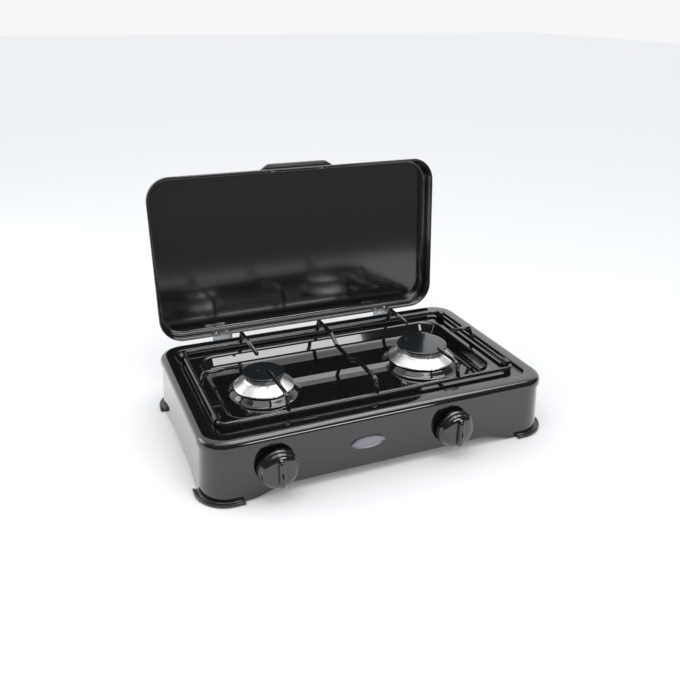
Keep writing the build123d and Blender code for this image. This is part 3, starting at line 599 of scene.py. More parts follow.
@dataclass
class Body:
    """The drafted casing wall and the pressed hob top, with its ledge, well and collars.

    Heights are from the floor, and half lengths and widths are from the body's middle. The wall's
    hem is its lowest row, as a share of the way up.
    """

    half_x: float = 250.0 * MM
    half_y: float = 151.0 * MM
    corner: float = 36.0 * MM
    height: float = 87.0 * MM
    lip: float = 12.0 * MM
    shoulder: float = 10.0 * MM
    sheet: float = 1.0 * MM
    hem: float = 0.2 * MM
    wall_inset: float = 3.0 * MM
    draft: float = math.tan(math.radians(3.2))
    flange: float = 26.0 * MM
    flange_bend: float = 1.5 * MM
    wall_hem: float = 0.003
    wall_rows: int = 8
    wall_columns: int = 60
    corner_steps: int = 16
    bottom: float = 1.6 * MM
    arch: float = 13.0 * MM
    arch_front: float = 195.0 * MM
    arch_side: float = 100.0 * MM
    ramp: float = 50.0 * MM
    step_inset: float = 22.0 * MM
    step_corner: float = 18.0 * MM
    step_draft: float = 1.2 * MM
    step_edge: float = 2.2 * MM
    step_foot: float = 1.8 * MM
    ledge: float = 82.0 * MM
    well_x: float = 198.0 * MM
    well_y: float = 94.5 * MM
    well_corner: float = 26.0 * MM
    well_middle: float = 7.5 * MM
    well_slope: float = 8.0 * MM
    well_edge: float = 4.0 * MM
    well_foot: float = 5.0 * MM
    floor: float = 64.0 * MM
    floor_margin: float = 12.0 * MM
    floor_margin_corner: float = 8.0 * MM
    floor_rows: int = 46
    floor_hub: float = 1.0 * MM
    floor_hub_corner: float = 0.9 * MM
    floor_slack: float = 0.1 * MM
    top_columns: int = 110
    edge_steps: int = 12
    collar_top: float = 72.0 * MM
    collar_slope: float = 12.0 * MM
    collar_straight: float = 0.72

    def arch_height(self, x: np.ndarray, y: np.ndarray) -> np.ndarray:
        """Return the height of the wall's lower edge: a smooth ramp from the feet to the arch.

        The ramp is 3s^2 - 2s^3 of the share s of the way along it.

        Args:
            x: places along the body, from its middle.
            y: places across the body, from its middle.

        Returns:
            The height at each place.
        """
        along_front = np.clip((self.arch_front - np.abs(x)) / self.ramp, 0, 1)
        along_side = np.clip((self.arch_side - np.abs(y)) / self.ramp, 0, 1)
        on_front = np.abs(y) > self.half_y - self.corner
        share = np.where(on_front, along_front, along_side)
        return self.bottom + (self.arch - self.bottom) * share**2 * (3 - 2 * share)

    def casing(self) -> bpy.types.Object:
        """Build the casing: rows up the wall from the arched edge, then in along the flange.

        Returns:
            The casing.
        """
        top = self.ledge - self.sheet
        up = np.concatenate([[0, self.wall_hem], np.linspace(0.1, 1, self.wall_rows)])
        lift = np.concatenate([up, [1.0, 1.0]])
        inward = [self.flange_bend, self.flange - self.wall_inset]
        extra = np.concatenate([np.zeros(len(up)), inward])
        same = np.ones(len(lift))
        loop = rounded_loop(
            same * self.half_x, same * self.half_y, same * self.corner,
            self.corner_steps, self.wall_columns,
        )
        edge = self.arch_height(loop[..., 0], loop[..., 1])
        z = edge + (top - edge) * lift[:, None]
        inset = self.wall_inset - (top - z) * self.draft + extra[:, None]
        centre_x = np.clip(loop[..., 0], -(self.half_x - self.corner), self.half_x - self.corner)
        centre_y = np.clip(loop[..., 1], -(self.half_y - self.corner), self.half_y - self.corner)
        scale = 1 - inset / self.corner
        x = centre_x + (loop[..., 0] - centre_x) * scale
        y = centre_y + (loop[..., 1] - centre_y) * scale
        grid = np.stack([x, y + BODY_Y, z], axis=2)
        surface = Surface()
        surface.add_grid(grid, Closing.COLUMNS)
        piece = surface.build("casing_wall")
        thicken(piece, self.sheet)
        return place(piece, "hob", "enamel_black", "casing")

    def collar_height(self, x: np.ndarray, y: np.ndarray, burner: "Burner") -> np.ndarray:
        """Return how far the floor rises round a burner: a softened cone up to a flat top.

        The rise is k s + (1 - k) (s - sin(2 pi s)/(2 pi)), with s the share of the way up the slope
        and k how straight the slope is.

        Args:
            x: places along the body.
            y: places across the body.
            burner: the burner in the collar's middle.

        Returns:
            The rise at each place.
        """
        distance = np.hypot(x - burner.x, y - burner.y)
        share = np.clip((burner.collar + self.collar_slope - distance) / self.collar_slope, 0, 1)
        wave = share - np.sin(2 * math.pi * share) / (2 * math.pi)
        rise = self.collar_straight * share + (1 - self.collar_straight) * wave
        return (self.collar_top - self.floor) * rise

    def hob_top(self, burners: list["Burner"]) -> bpy.types.Object:
        """Build the hob top as rows from the lip, over the shoulder and down to the floor.

        Args:
            burners: the burners, whose collars rise from the floor.

        Returns:
            The hob top.
        """
        step_x = self.half_x - self.step_inset
        step_y = self.half_y - self.step_inset
        floor_x = self.well_x - self.well_slope
        floor_y = self.well_y - self.well_slope
        floor_corner = self.well_corner - self.well_slope
        low = self.height - self.lip
        rows = np.array(
            [
                (self.half_x, self.half_y, self.corner, 0, low),
                (self.half_x, self.half_y, self.corner, 0, low + self.hem),
                (self.half_x, self.half_y, self.corner, 0, self.height),
                (step_x, step_y, self.step_corner, 0, self.height),
                (step_x - self.step_draft, step_y - self.step_draft,
                 self.step_corner - self.step_draft, 0, self.ledge),
                (self.well_x, self.well_y, self.well_corner, self.well_middle, self.ledge),
                (floor_x, floor_y, floor_corner, self.well_middle, self.floor),
                (floor_x - self.floor_margin, floor_y - self.floor_margin,
                 floor_corner - self.floor_margin_corner, self.well_middle, self.floor),
            ]
        )
        radii = [0, self.shoulder, self.step_edge, self.step_foot, self.well_edge, self.well_foot]
        chain = eased(rows, radii, self.edge_steps)
        last = chain[-1]
        inward = np.linspace(0, 1, self.floor_rows)[1:, None]
        hub_x = last[0] - last[1] + self.floor_hub
        hub = (hub_x, self.floor_hub, self.floor_hub_corner, self.well_middle, self.floor)
        chain = np.concatenate([chain, last + (np.array(hub) - last) * inward])
        loop = rounded_loop(
            chain[:, 0], chain[:, 1], chain[:, 2], self.corner_steps, self.top_columns
        )
        x = loop[..., 0]
        y = loop[..., 1] + chain[:, 3][:, None]
        z = np.broadcast_to(chain[:, 4][:, None], x.shape).copy()
        inside = z <= self.floor + self.floor_slack
        for burner in burners:
            z += np.where(inside, self.collar_height(x, y + BODY_Y, burner), 0)
        grid = np.stack([x, y + BODY_Y, z], axis=2)
        surface = Surface()
        start = surface.add_grid(grid, Closing.COLUMNS)
        surface.close_ends(start, grid, both=False)
        piece = surface.build("hob_top_pressing")
        thicken(piece, self.sheet)
        return place(piece, "hob", "enamel_black", "hob_top")

    @property
    def foot_wall(self) -> float:
        """How far the wall's lower edge stands inside the lip's outline; less than 0 is outside."""
        return self.wall_inset - (self.ledge - self.sheet - self.bottom) * self.draft


@dataclass
class Foot:
    """One moulded foot: a beaded section carried round a corner of the casing.

    The bead's points are counted in from the foot's reach and up from its top, and the tread's
    points out from the wall and up from the floor, all in millimetres.
    """

    body: Body
    name: str
    side_x: int
    side_y: int
    reach: float = 6.6 * MM
    inner: float = 7.0 * MM
    height: float = 5.5 * MM
    toe: float = 1.0 * MM
    bead: tuple = ((0.0, -1.3), (-0.6, -0.2), (-1.8, 0.0), (-3.0, -1.0), (-4.2, -1.7))
    tread: tuple = ((1.2, 3.6), (0.4, 4.2), (-0.8, 4.4))
    shelf: float = 4.4 * MM
    past_arch: float = 7.0 * MM
    turn_steps: int = 24
    softness: float = 0.4 * MM

    def section(self) -> np.ndarray:
        """Return the section as pairs of distance out from the wall and height.

        Returns:
            An array of shape (points, 2).
        """
        return np.array(
            [
                (-self.inner, 0.0), (self.reach - self.toe, 0.0), (self.reach, self.toe),
                *beside(self.reach, self.height, self.bead),
                *beside(0.0, 0.0, self.tread),
                (self.toe - self.inner, self.shelf), (-self.inner, self.shelf - self.toe),
            ]
        )

    def build(self) -> None:
        """Build the foot along a side, round the corner and along the front or rear."""
        section = self.section()
        body = self.body
        outer_x, outer_y = body.half_x - body.foot_wall, body.half_y - body.foot_wall
        radius = body.corner - body.foot_wall
        turn = np.linspace(0, math.pi / 2, self.turn_steps)
        arc_x = outer_x - radius + radius * np.cos(turn)
        arc_y = outer_y - radius + radius * np.sin(turn)
        end_x = body.arch_front + self.past_arch
        end_y = body.arch_side + self.past_arch
        route_x = np.concatenate([[outer_x, outer_x], arc_x[1:], [end_x]])
        route_y = np.concatenate([[end_y, outer_y - radius], arc_y[1:], [outer_y]])
        out_x = np.concatenate([[1, 1], np.cos(turn)[1:], [0]])
        out_y = np.concatenate([[0, 0], np.sin(turn)[1:], [1]])
        x = route_x[:, None] + out_x[:, None] * section[None, :, 0]
        y = route_y[:, None] + out_y[:, None] * section[None, :, 0]
        z = np.broadcast_to(section[None, :, 1], x.shape)
        grid = np.stack([self.side_x * x, self.side_y * y + BODY_Y, z], axis=2)
        surface = Surface()
        flip = self.side_x * self.side_y > 0
        start = surface.add_grid(grid, Closing.COLUMNS, flip=flip)
        surface.close_ends(start, grid, flip=flip)
        piece = surface.build(f"{self.name}_moulding")
        soften(piece, self.softness)
        place(piece, "hob", "foot_black", self.name)


# ---------------------------------------------------------------- burners


@dataclass
class Burner:
    """One burner's crown and cap, and how far from its middle the fingers' tips end."""

    side: str
    x: float
    y: float
    skirt: float
    cap: float
    ports: int
    tip: float
    base: float = 73.0 * MM
    skirt_height: float = 12.0 * MM
    skirt_rows: int = 12
    skirt_flare: float = 1.06
    skirt_over_collar: float = 3.0 * MM
    hem: float = 1.6 * MM
    slits: int = 12
    slit_depth: float = 0.8 * MM
    port_height: float = 7.0 * MM
    port_depth: float = 2.8 * MM
    port_columns: tuple[int, ...] = (4, 5, 6, 7)
    columns_each: int = 12
    wall: float = 4.5 * MM
    crisp: float = math.radians(38)
    cap_thickness: float = 4.0 * MM
    overhang: float = 3.0 * MM
    roll: float = 1.6 * MM
    dome: float = 0.6 * MM
    dome_share: float = 0.90
    dome_power: float = 0.8
    cap_hub: float = 0.3 * MM
    cap_columns: int = 128

    @property
    def collar(self) -> float:
        """Radius of the pan's collar under the skirt."""
        return self.skirt - self.skirt_over_collar

    @property
    def ring(self) -> float:
        """Radius of the ring of ports."""
        return self.cap - self.overhang

    def crown(self) -> bpy.types.Object:
        """Build the bright crown: a flared skirt with slits and a ring of slotted ports.

        The profile runs out under the skirt, up the skirt and the ports, and down the bore. The
        skirt's height falls from its top by the share s^flare of the way out. In the port rows
        the radius drops by the ports' depth for a third of each pitch.

        Returns:
            The crown.
        """
        top = self.base + self.skirt_height
        port_top = top + self.port_height
        bore = self.ring - self.wall
        fall = self.base + self.hem - top
        inside = beside(self.ring, self.base, ((-4.0, 4.0), (-1.0, 4.5)))
        edge = ((-3.0, 0.6), (-1.2, 0.0), (-0.3, 0.3), (0.0, 1.0), (-0.4, 1.9))
        skirt_edge = beside(self.skirt, self.base, edge)
        skirt = [
            (self.ring + (self.skirt - self.ring) * share, top + fall * share**self.skirt_flare)
            for share in np.linspace(1, 0, self.skirt_rows)[1:-1]
        ]
        port_foot = beside(self.ring, top, ((0.5, 0.2), (0.0, 0.8), (0.0, 1.2), (0.0, 1.4)))
        port_head = beside(self.ring, port_top, ((0.0, -1.6), (0.0, -1.4), (0.0, -0.4), (-0.4, 0.0)))
        rim = beside(bore, port_top, ((0.4, 0.0), (0.0, -0.4)))
        foot = beside(bore, self.base, ((0.0, 4.2),))
        outside = [*inside, *skirt_edge, *skirt, *port_foot]
        profile = np.array([*outside, *port_head, *rim, *foot])
        columns = self.ports * self.columns_each
        grid = revolved(profile, columns)
        step = np.arange(columns)
        slot = np.isin(step % self.columns_each, self.port_columns)
        first_port = len(outside) - 1
        depth = np.zeros((len(profile), columns))
        depth[first_port : first_port + 2, :] = np.where(slot, self.port_depth, 0.0)
        pitch = columns / self.slits
        near = np.abs((step + pitch / 2) % pitch - pitch / 2)
        first_skirt = len(inside) + len(skirt_edge) - 1
        skirt_band = slice(first_skirt, first_skirt + len(skirt))
        radius = np.hypot(grid[..., 0], grid[..., 1])
        grid[..., :2] *= ((radius - depth) / radius)[..., None]
        grid[skirt_band, :, 2] -= np.where(near < 1.0, self.slit_depth, 0.0)[None, :]
        grid += np.array([self.x, self.y, 0.0])
        surface = Surface()
        surface.add_grid(grid, Closing.COLUMNS)
        piece = surface.build(f"{self.side}_flame_crown")
        piece.data.set_sharp_from_angle(angle=self.crisp)
        return place(piece, "hob", "bright_aluminium", f"{self.side}_burner_crown")

    def lid_cap(self) -> bpy.types.Object:
        """Build the cap: a shallow dome with a rolled edge, flat beneath.

        The dome rises by dome s^power over the share s of the way in from its edge.

        Returns:
            The cap.
        """
        low = self.base + self.skirt_height + self.port_height
        high = low + self.cap_thickness - self.dome
        middle = self.cap - self.roll
        top = [
            (self.cap * self.dome_share * (1 - share) + self.cap_hub * share,
             high + self.dome * share**self.dome_power)
            for share in np.linspace(0, 1, 16)
        ]
        rim = [
            (middle + self.roll * math.cos(turn), high - self.roll + self.roll * math.sin(turn))
            for turn in np.linspace(-0.5, 1, 9)[1:-1] * math.pi / 2
        ]
        under = [
            *beside(0.0, low, ((1.0, 0.2),)), *beside(self.ring, low, ((-1.2, 0.0),)),
            *beside(self.cap, low, ((-1.6, 0.0), (-0.2, 0.6))),
        ]
        profile = np.array([*under, *rim, *top])
        grid = revolved(profile, self.cap_columns) + np.array([self.x, self.y, 0.0])
        surface = Surface()
        surface.close_ends(surface.add_grid(grid, Closing.COLUMNS), grid)
        piece = surface.build(f"{self.side}_cap_disc")
        return place(piece, "hob", "cap_enamel", f"{self.side}_burner_cap")


# ---------------------------------------------------------------- knobs


@dataclass
class Knob:
    """A round gloss knob with a domed face and a grip bar across it."""

    side: str
    radius: float = 27.0 * MM
    crown: float = 24.0 * MM
    reach: float = 22.0 * MM
    skirt: float = 8.0 * MM
    dome: float = 8.0 * MM
    squareness: float = 2.6
    dome_rows: int = 26
    columns: int = 128
    grip_half_width: float = 4.5 * MM
    grip_half_length: float = 21.0 * MM
    grip_foot: float = 1.0 * MM
    grip_edge: float = 0.42
    grip_corner: float = 0.6
    grip_rows: int = 18
    grip_columns: int = 96

    def build(self) -> bpy.types.Object:
        """Build the skirt, the dome and the grip bar, and stand them on the CAD knob's place.

        The dome's height is skirt + dome (1 - (r/R)^p)^(1/p), with R the crown and p the
        squareness.

        Returns:
            The knob.
        """
        low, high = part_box(f"{self.side}_knob")
        centre_x = (low[0] + high[0]) / 2
        centre_z = (low[2] + high[2]) / 2
        back_y = high[1]
        power = self.squareness
        dome = [
            (self.crown * share + 0.2 * MM, self.skirt + self.dome * (1 - share**power) ** (1 / power))
            for share in np.linspace(0.985, 0.0, self.dome_rows)
        ]
        under = ((-4.0, 6.0), (-3.2, 0.6), (-2.6, 0.1), (-0.6, 0.0), (0.0, 0.6))
        edge = ((0.0, 2.0), (-0.2, 5.0), (-0.8, 6.6), (-2.0, 7.6))
        profile = np.array(
            [
                *beside(0.0, 0.0, ((4.0, 6.0),)), *beside(self.radius, 0.0, (*under, *edge)),
                *beside(self.crown, self.skirt, ((0.4, 0.0),)), *dome,
            ]
        )
        turned = revolved(profile, self.columns)
        body = np.stack([turned[..., 0], -turned[..., 2], turned[..., 1]], axis=2)
        surface = Surface()
        surface.close_ends(surface.add_grid(body, Closing.COLUMNS), body)
        surface.add_grid(self.grip(), Closing.COLUMNS)
        surface.points = [p + np.array([centre_x, back_y, centre_z]) for p in surface.points]
        piece = surface.build(f"{self.side}_knob_moulding")
        return place(piece, f"{self.side}_knob_turner", "knob_black", f"{self.side}_knob")

    def grip(self) -> np.ndarray:
        """Return the grip bar's grid, from the skirt's face to the knob's reach.

        It is a superellipsoid: x, z = size cos^edge(a) (cos^corner(b), sin^corner(b)), with the
        rise sin^edge(a), which makes a bar with rounded edges.

        Returns:
            A grid of shape (rows, columns, 3).
        """
        eta = np.linspace(0.02, math.pi / 2 - 0.02, self.grip_rows)
        omega = np.linspace(0, 2 * math.pi, self.grip_columns, endpoint=False)

        def signed(value: np.ndarray, power: float) -> np.ndarray:
            """Return a power that keeps its sign."""
            return np.sign(value) * np.abs(value) ** power

        ring = signed(np.cos(eta), self.grip_edge)[:, None]
        x = self.grip_half_width * ring * signed(np.cos(omega), self.grip_corner)[None, :]
        z = self.grip_half_length * ring * signed(np.sin(omega), self.grip_corner)[None, :]
        foot = self.skirt + self.grip_foot
        forward = foot + (self.reach - foot) * signed(np.sin(eta), self.grip_edge)[:, None]
        return np.stack([x, np.broadcast_to(-forward, x.shape), z], axis=2)


# ---------------------------------------------------------------- pan support


@dataclass
class PanSupport:
    """The bent wire frame, its dipped bridge and the fingers over each burner."""

    wire: float = 3.0 * MM
    half_x: float = 216.5 * MM
    half_y: float = 112.5 * MM
    middle: float = 7.5 * MM
    corner: float = 9.0 * MM
    height: float = 87.5 * MM
    level: float = 108.0 * MM
    knee: float = 7.0 * MM
    bend: float = 6.0 * MM
    dip: float = 10.5 * MM
    dip_front: float = -15.0 * MM
    dip_back: float = 37.0 * MM
    ramp: float = 22.0 * MM

    def wire_piece(self, surface: Surface, corners: list, normal: tuple) -> None:
        """Add one bent wire with closed ends to a surface.

        Args:
            surface: the surface to add to.
            corners: the route's corners, in the row's frame.
            normal: the normal of the plane that the route lies in.
        """
        route = filleted_route(np.array(corners), self.bend)
        tube = swept_tube(route, self.wire, np.array(normal, dtype=float))
        surface.close_ends(surface.add_grid(tube, Closing.COLUMNS), tube)

    def frame_wire(self) -> None:
        """Build the frame: a round wire along a rounded rectangle."""
        single = np.array([1.0])
        loop = rounded_loop(single * self.half_x, single * self.half_y, single * self.corner, 12, 20)[0]
        height = np.full(len(loop), self.height)
        route = np.stack([loop[:, 0], loop[:, 1] + self.middle + BODY_Y, height], axis=1)
        tube = swept_tube(route, self.wire, UP, closed=True)
        surface = Surface()
        surface.add_grid(tube, Closing.BOTH)
        place(surface.build("support_frame_wire"), "hob", "wire_black", "support_frame")

    def bridge(self) -> None:
        """Build the bridge, which dips between the burners."""
        front, back = self.middle - self.half_y, self.middle + self.half_y
        low = self.level - self.dip
        route = [
            (back, self.height), (back - self.knee, self.level), (self.dip_back + self.ramp, self.level),
            (self.dip_back, low), (self.dip_front, low), (self.dip_front - self.ramp, self.level),
            (front + self.knee, self.level), (front, self.height),
        ]
        surface = Surface()
        corners = [(0.0, y + BODY_Y, z) for y, z in route]
        self.wire_piece(surface, corners, (1, 0, 0))
        place(surface.build("support_bridge_wire"), "hob", "wire_black", "support_bridge")

    def fingers(self, burner: Burner) -> None:
        """Build the three fingers of one burner: from the rear, the front and its outer side.

        Args:
            burner: the burner that they point at, which says how far from its middle they end.
        """
        side = math.copysign(1.0, burner.x)
        front = self.middle - self.half_y + BODY_Y
        back = self.middle + self.half_y + BODY_Y
        surface = Surface()
        x = burner.x
        for edge, sign in ((back, -1), (front, 1)):
            corners = [
                (x, edge, self.height),
                (x, edge + sign * self.knee, self.level),
                (x, burner.y - sign * burner.tip, self.level),
            ]
            self.wire_piece(surface, corners, (1, 0, 0))
        corners = [
            (side * self.half_x, burner.y, self.height),
            (side * (self.half_x - self.knee), burner.y, self.level),
            (x + side * burner.tip, burner.y, self.level),
        ]
        self.wire_piece(surface, corners, (0, 1, 0))
        name = f"{burner.side}_fingers"
        place(surface.build(f"{name}_wires"), "hob", "wire_black", name)


# ---------------------------------------------------------------- lid


@dataclass
class Lid:
    """The pressed lid with its rolled rim and its handle, drawn shut and turned open."""

    hinge_y: float
    hinge_z: float = 69.5 * MM
    opened: float = math.radians(94.4)
    half_x: float = 237.25 * MM
    half_y: float = 127.5 * MM
    corner: float = 38.0 * MM
    depth: float = 26.4 * MM
    edge: float = 8.0 * MM
    bead: float = 1.6 * MM
    sheet: float = 1.0 * MM
    rear_inset: float = 10.9 * MM
    rim: float = 20.9 * MM
    panel_sag: float = 0.35 * MM
    panel_inset: float = 12.0 * MM
    panel_rows: int = 30
    flat_inset: float = 30.0 * MM
    flat_corner: float = 24.0 * MM
    hub: float = 1.0 * MM
    hub_corner: float = 0.9 * MM
    level_slack: float = 0.001 * MM

    @property
    def bulge(self) -> float:
        """How far the rolled rim stands out from the wall."""
        return 2 * self.bead - self.sheet

    @property
    def centre_y(self) -> float:
        """The shut lid's middle, from the hinge."""
        return -self.rear_inset - self.half_y

    def turned(self, grid: np.ndarray) -> np.ndarray:
        """Turn points of the shut lid about the hinge to where the lid stands open.

        With the opening angle t, y' = y cos t + z sin t and z' = z cos t - y sin t.

        Args:
            grid: points of the shut lid, from the hinge.

        Returns:
            The same points with the lid open, in the frame.
        """
        cos, sin = math.cos(self.opened), math.sin(self.opened)
        x, y, z = grid[..., 0], grid[..., 1], grid[..., 2]
        return np.stack(
            [x, self.hinge_y + y * cos + z * sin, self.hinge_z + z * cos - y * sin], axis=2
        )

    def shell(self) -> None:
        """Build the shell: rows up the wall, over the edge and in across the panel.

        The panel sinks by sag (1 - (x/X)^2) (1 - (y/Y)^2), as a pressed sheet does.
        """
        half_x, half_y = self.half_x - self.bulge, self.half_y - self.bulge
        corner = self.corner - self.bulge
        top = self.rim + self.depth
        rows = np.array(
            [
                (half_x, half_y, corner, self.rim + self.bead),
                (half_x, half_y, corner, top),
                (half_x - self.flat_inset, half_y - self.flat_inset, corner - self.flat_corner, top),
            ]
        )
        chain = eased(rows, [self.edge], 14)
        inward = np.linspace(0, 1, self.panel_rows)[1:, None]
        hub = np.array([half_x - half_y + self.hub, self.hub, self.hub_corner, top])
        chain = np.concatenate([chain, chain[-1] + (hub - chain[-1]) * inward])
        loop = rounded_loop(chain[:, 0], chain[:, 1], chain[:, 2], 18, 60)
        x, y = loop[..., 0], loop[..., 1]
        z = np.broadcast_to(chain[:, 3][:, None], x.shape).copy()
        share_x = np.clip(1 - (x / (half_x - self.panel_inset)) ** 2, 0, 1)
        share_y = np.clip(1 - (y / (half_y - self.panel_inset)) ** 2, 0, 1)
        z -= np.where(z > top - self.level_slack, self.panel_sag * share_x * share_y, 0)
        grid = self.turned(np.stack([x, y + self.centre_y, z], axis=2))
        surface = Surface()
        start = surface.add_grid(grid, Closing.COLUMNS)
        surface.close_ends(start, grid, both=False)
        piece = surface.build("lid_pressing")
        mark_haze(piece, 1.0)
        thicken(piece, self.sheet)
        place(piece, "lid", "enamel_black", "lid_shell")

    def rolled_rim(self) -> None:
        """Build the rolled rim: a tube round the shell's open edge."""
        single = np.array([1.0])
        inset = self.bead
        loop = rounded_loop(
            single * (self.half_x - inset), single * (self.half_y - inset),
            single * (self.corner - inset), 18, 40,
        )[0]
        level = np.full(len(loop), self.rim + self.bead)
        route = np.stack([loop[:, 0], loop[:, 1] + self.centre_y, level], axis=1)
        tube = swept_tube(route, self.bead, UP, closed=True, sides=16)
        surface = Surface()
        surface.add_grid(self.turned(tube), Closing.BOTH)
        place(surface.build("lid_rolled_rim"), "lid", "enamel_black")

    def handle(self) -> None:
        """Build the handle: a bar with sloping ends and rounded edges on the lid's front wall.

        Each row is the bar's outline drawn in by e (1 - sin t) at a rise of e (1 - cos t).
        """
        half_length, reach, height = 61.0 * MM, 9.2 * MM, 9.0 * MM
        taper, bend, edge, lift = 14.0 * MM, 12.0 * MM, 2.8 * MM, 2.5 * MM
        front = self.centre_y - self.half_y + self.bulge
        bottom = self.rim + 2 * self.bead + lift
        corners = np.array(
            [(-half_length, 0, 0), (taper - half_length, -reach, 0),
             (half_length - taper, -reach, 0), (half_length, 0, 0)]
        )
        outline = filleted_route(corners, bend, 12)
        turn = np.linspace(0, math.pi / 2, 7)
        drawn_in = edge * (1 - np.sin(turn))
        rise = edge * (1 - np.cos(turn))
        inset = np.concatenate([drawn_in, drawn_in[::-1]])[:, None]
        level = np.concatenate([rise, height - rise[::-1]])[:, None]
        x = outline[None, :, 0] * (1 - inset / half_length)
        y = outline[None, :, 1] * (1 - inset / reach) + front
        grid = np.stack([x, y, np.broadcast_to(bottom + level, x.shape)], axis=2)
        surface = Surface()
        surface.close_ends(surface.add_grid(self.turned(grid), Closing.COLUMNS), grid)
        piece = surface.build("lid_handle_moulding")
        soften(piece, 0.3 * MM)
        place(piece, "lid", "handle_black", "lid_handle")


# ---------------------------------------------------------------- badge


@dataclass
class Badge:
    """A plain oval plate with a raised rim.

    Each ring is a share of the plate's size and a depth behind its face, in millimetres.
    """

    half_x: float = 24.0 * MM
    half_z: float = 8.5 * MM
    edge_rings: tuple = ((1.0, 1.4), (1.0, 0.3), (0.985, 0.0), (0.955, 0.0), (0.94, 0.25), (0.93, 0.4))
    face_rings: tuple = ((0.6, 0.3), (0.02, 0.2))
    rim_width: float = 1.2
    columns: int = 96

    def build(self) -> None:
        """Build the plate from rings of shrinking ellipses, each with its own depth.

        The rim's rings shrink by the same width all round, and those on the face by the same share.
        """
        low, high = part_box("badge")
        centre_x, centre_z = (low[0] + high[0]) / 2, (low[2] + high[2]) / 2
        share, depth = np.array([*self.edge_rings, *self.face_rings]).T
        angle = np.linspace(0, 2 * math.pi, self.columns, endpoint=False)
        on_rim = np.arange(len(share)) < len(self.edge_rings)
        rim_x = self.half_x - (1 - share) * self.half_z * self.rim_width
        long = np.where(on_rim, rim_x, self.half_x * share)
        x = centre_x + long[:, None] * np.cos(angle)
        z = centre_z + (self.half_z * share)[:, None] * np.sin(angle)
        y = np.broadcast_to((low[1] + depth * MM)[:, None], x.shape)
        grid = np.stack([x, y, z], axis=2)
        surface = Surface()
        surface.close_ends(surface.add_grid(grid, Closing.COLUMNS), grid, both=False)
        place(surface.build("badge_plate"), "hob", "satin_silver", "badge")


# ---------------------------------------------------------------- studio


@dataclass(frozen=True)
class Lamp:
    """A rectangular lamp: where it hangs, the point that it faces, its sides and its watts.

    Only mirrors see a sheen lamp.
    """

    name: str
    spot: tuple[float, float, float]
    aim: tuple[float, float, float]
    size: tuple[float, float]
    power: float
    sheen: bool = False

    def hang(self) -> None:
        """Add the lamp to the scene."""
        data = bpy.data.lights.new(self.name, "AREA")
        data.shape = "RECTANGLE"
        data.size, data.size_y = self.size
        data.energy = self.power
        lamp = bpy.data.objects.new(self.name, data)
        bpy.context.scene.collection.objects.link(lamp)
        lamp.visible_diffuse = not self.sheen
        lamp.location = self.spot
        ahead = Vector(self.aim) - Vector(self.spot)
        lamp.rotation_euler = ahead.to_track_quat("-Z", "Y").to_euler()


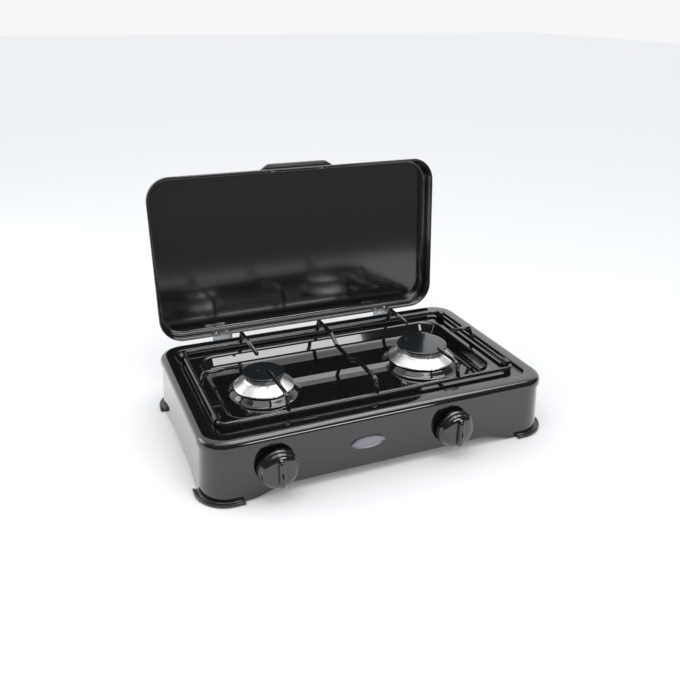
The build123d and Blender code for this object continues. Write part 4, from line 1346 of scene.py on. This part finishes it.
@dataclass
class Studio:
    """The pale floor and backdrop, the lamps and the camera.

    Each glow stop is a height of the view, from 0 straight down to 1 straight up, and its grey.
    """

    focal: float = 39.12
    sensor: float = 36.0
    eye: tuple[float, float, float] = (-0.3898, -0.8878, 0.5719)
    ahead: tuple[float, float, float] = (0.3561, 0.8345, -0.4204)
    above: tuple[float, float, float] = (0.1538, 0.3915, 0.9073)
    floor_front: float = -0.66
    floor_back: float = 12.0
    floor_half: float = 9.0
    floor_tone: tuple[float, float, float] = (0.95, 0.95, 0.955)
    backdrop: float = 0.93
    sky_tone: tuple[float, float, float] = (0.96, 0.98, 1.0)
    sky_strength: float = 0.95
    glow: tuple = ((0.35, 0.08), (0.47, 0.28), (0.53, 0.10), (0.72, 0.08), (1.0, 0.30))
    glow_tint: tuple[float, float, float] = (0.97, 1.0, 0.99)
    wall_tone: tuple[float, float, float] = (0.95, 0.96, 0.97)
    wall_span: tuple[float, float] = (0.05, 0.30)
    lamps: tuple[Lamp, ...] = (
        Lamp("overhead", (-0.2, -0.35, 1.5), (0.0, 0.0, 0.0), (1.3, 0.6), 4.0),
        Lamp("sheen", (0.45, 0.15, 1.5), (0.0, 0.0, 0.0), (1.3, 1.1), 14.0, sheen=True),
        Lamp("front_right", (0.42, -1.45, 0.62), (0.0, 0.1, 0.07), (0.62, 0.34), 5.0),
        Lamp("left_rear", (-1.2, 0.6, 0.7), (-0.45, 0.1, 0.0), (0.7, 0.7), 4.0),
    )

    def camera(self) -> None:
        """Stand the camera at its eye point, looking ahead with its own up direction."""
        data = bpy.data.cameras.new("camera")
        data.lens = self.focal
        data.sensor_width = self.sensor
        camera = bpy.data.objects.new("camera", data)
        bpy.context.scene.collection.objects.link(camera)
        back = -Vector(self.ahead).normalized()
        up = Vector(self.above)
        right = up.cross(back).normalized()
        up = back.cross(right)
        turn = Matrix((right, up, back)).transposed().to_4x4()
        eye = Vector(self.eye) + Vector((0.0, BODY_Y, 0.0))
        camera.matrix_world = Matrix.Translation(eye) @ turn
        bpy.context.scene.camera = camera

    def floor(self) -> None:
        """Lay the pale floor, which ends ahead of the hob, outside the camera's view."""
        across = np.linspace(-self.floor_half, self.floor_half, 9)
        along = np.linspace(self.floor_front, self.floor_back, 9)
        x, y = np.meshgrid(across, along)
        grid = np.stack([x, y, np.zeros_like(x)], axis=2)
        surface = Surface()
        surface.add_grid(grid, Closing.NONE)
        floor = surface.build("floor")
        tree = Tree("pale_floor")
        tree.values(Roughness=0.8, Specular_IOR_Level=0.1)
        tree.shader.inputs["Base Color"].default_value = (*self.floor_tone, 1)
        floor.data.materials.append(tree.material)

    def world(self) -> None:
        """Light the scene softly all round, dim to mirrors and pale to the camera.

        Glossy rays see a pale wall behind the hob, and ahead of it a dim grey that depends on the
        height of the ray's direction.
        """
        world = bpy.data.worlds.new("studio")
        world.use_nodes = True
        bpy.context.scene.world = world
        nodes, links = world.node_tree.nodes, world.node_tree.links
        nodes.clear()
        path = nodes.new("ShaderNodeLightPath")
        view = nodes.new("ShaderNodeTexCoord")
        split = nodes.new("ShaderNodeSeparateXYZ")
        links.new(view.outputs["Generated"], split.inputs["Vector"])
        height = nodes.new("ShaderNodeMapRange")
        height.inputs["From Min"].default_value = -1.0
        links.new(split.outputs["Z"], height.inputs["Value"])
        ahead = nodes.new("ShaderNodeValToRGB")
        stops = ahead.color_ramp.elements
        for _ in range(len(self.glow) - len(stops)):
            stops.new(0.5)
        for stop, (position, grey) in zip(stops, self.glow):
            stop.position = position
            stop.color = (*(tint * grey for tint in self.glow_tint), 1)
        links.new(height.outputs["Result"], ahead.inputs["Fac"])
        behind = nodes.new("ShaderNodeMapRange")
        behind.inputs["From Min"].default_value = self.wall_span[0]
        behind.inputs["From Max"].default_value = self.wall_span[1]
        links.new(split.outputs["Y"], behind.inputs["Value"])
        mirrored = nodes.new("ShaderNodeMixRGB")
        mirrored.inputs["Color2"].default_value = (*self.wall_tone, 1)
        links.new(behind.outputs["Result"], mirrored.inputs["Fac"])
        links.new(ahead.outputs["Color"], mirrored.inputs["Color1"])
        soft, dim, pale = (nodes.new("ShaderNodeBackground") for _ in range(3))
        soft.inputs["Color"].default_value = (*self.sky_tone, 1)
        soft.inputs["Strength"].default_value = self.sky_strength
        links.new(mirrored.outputs["Color"], dim.inputs["Color"])
        pale.inputs["Color"].default_value = (self.backdrop, self.backdrop, self.backdrop, 1)
        seen = soft.outputs["Background"]
        for ray, other in (("Is Glossy Ray", dim), ("Is Camera Ray", pale)):
            choice = nodes.new("ShaderNodeMixShader")
            links.new(path.outputs[ray], choice.inputs["Fac"])
            links.new(seen, choice.inputs[1])
            links.new(other.outputs["Background"], choice.inputs[2])
            seen = choice.outputs["Shader"]
        out = nodes.new("ShaderNodeOutputWorld")
        links.new(seen, out.inputs["Surface"])

    def build(self) -> None:
        """Set up the whole studio."""
        self.camera()
        self.floor()
        self.world()
        for lamp in self.lamps:
            lamp.hang()
        bpy.context.scene.view_settings.view_transform = "Standard"


def dress_hardware() -> None:
    """Give every CAD node that still shows the finish of its slot."""
    for row in frame["record"]["subparts"]:
        node = frame["nodes"][row["node"]]
        node.data.materials.clear()
        node.data.materials.append(finish_for(row["material_slot"]))


def main() -> None:
    """Build the studio and every sub-assembly in order."""
    logging.basicConfig(level=logging.INFO, format="%(message)s")
    burner_y = middle_y("left_burner_crown")
    burners = [
        Burner("left", -BURNER_X, burner_y, skirt=43 * MM, cap=30 * MM, ports=33, tip=30 * MM),
        Burner("right", BURNER_X, burner_y, skirt=51 * MM, cap=38 * MM, ports=42, tip=50 * MM),
    ]
    Studio().build()
    dress_hardware()
    body = Body()
    body.casing()
    body.hob_top(burners)
    for end, side_y in (("front", -1), ("rear", 1)):
        for side, side_x in (("left", -1), ("right", 1)):
            Foot(body, f"{end}_{side}_foot", side_x, side_y).build()
    for burner in burners:
        burner.crown()
        burner.lid_cap()
        Knob(burner.side).build()
    support = PanSupport()
    support.frame_wire()
    support.bridge()
    for burner in burners:
        support.fingers(burner)
    lid = Lid(middle_y("left_hinge_pin"))
    lid.shell()
    lid.rolled_rim()
    lid.handle()
    Badge().build()


if __name__ == "__main__":
    main()
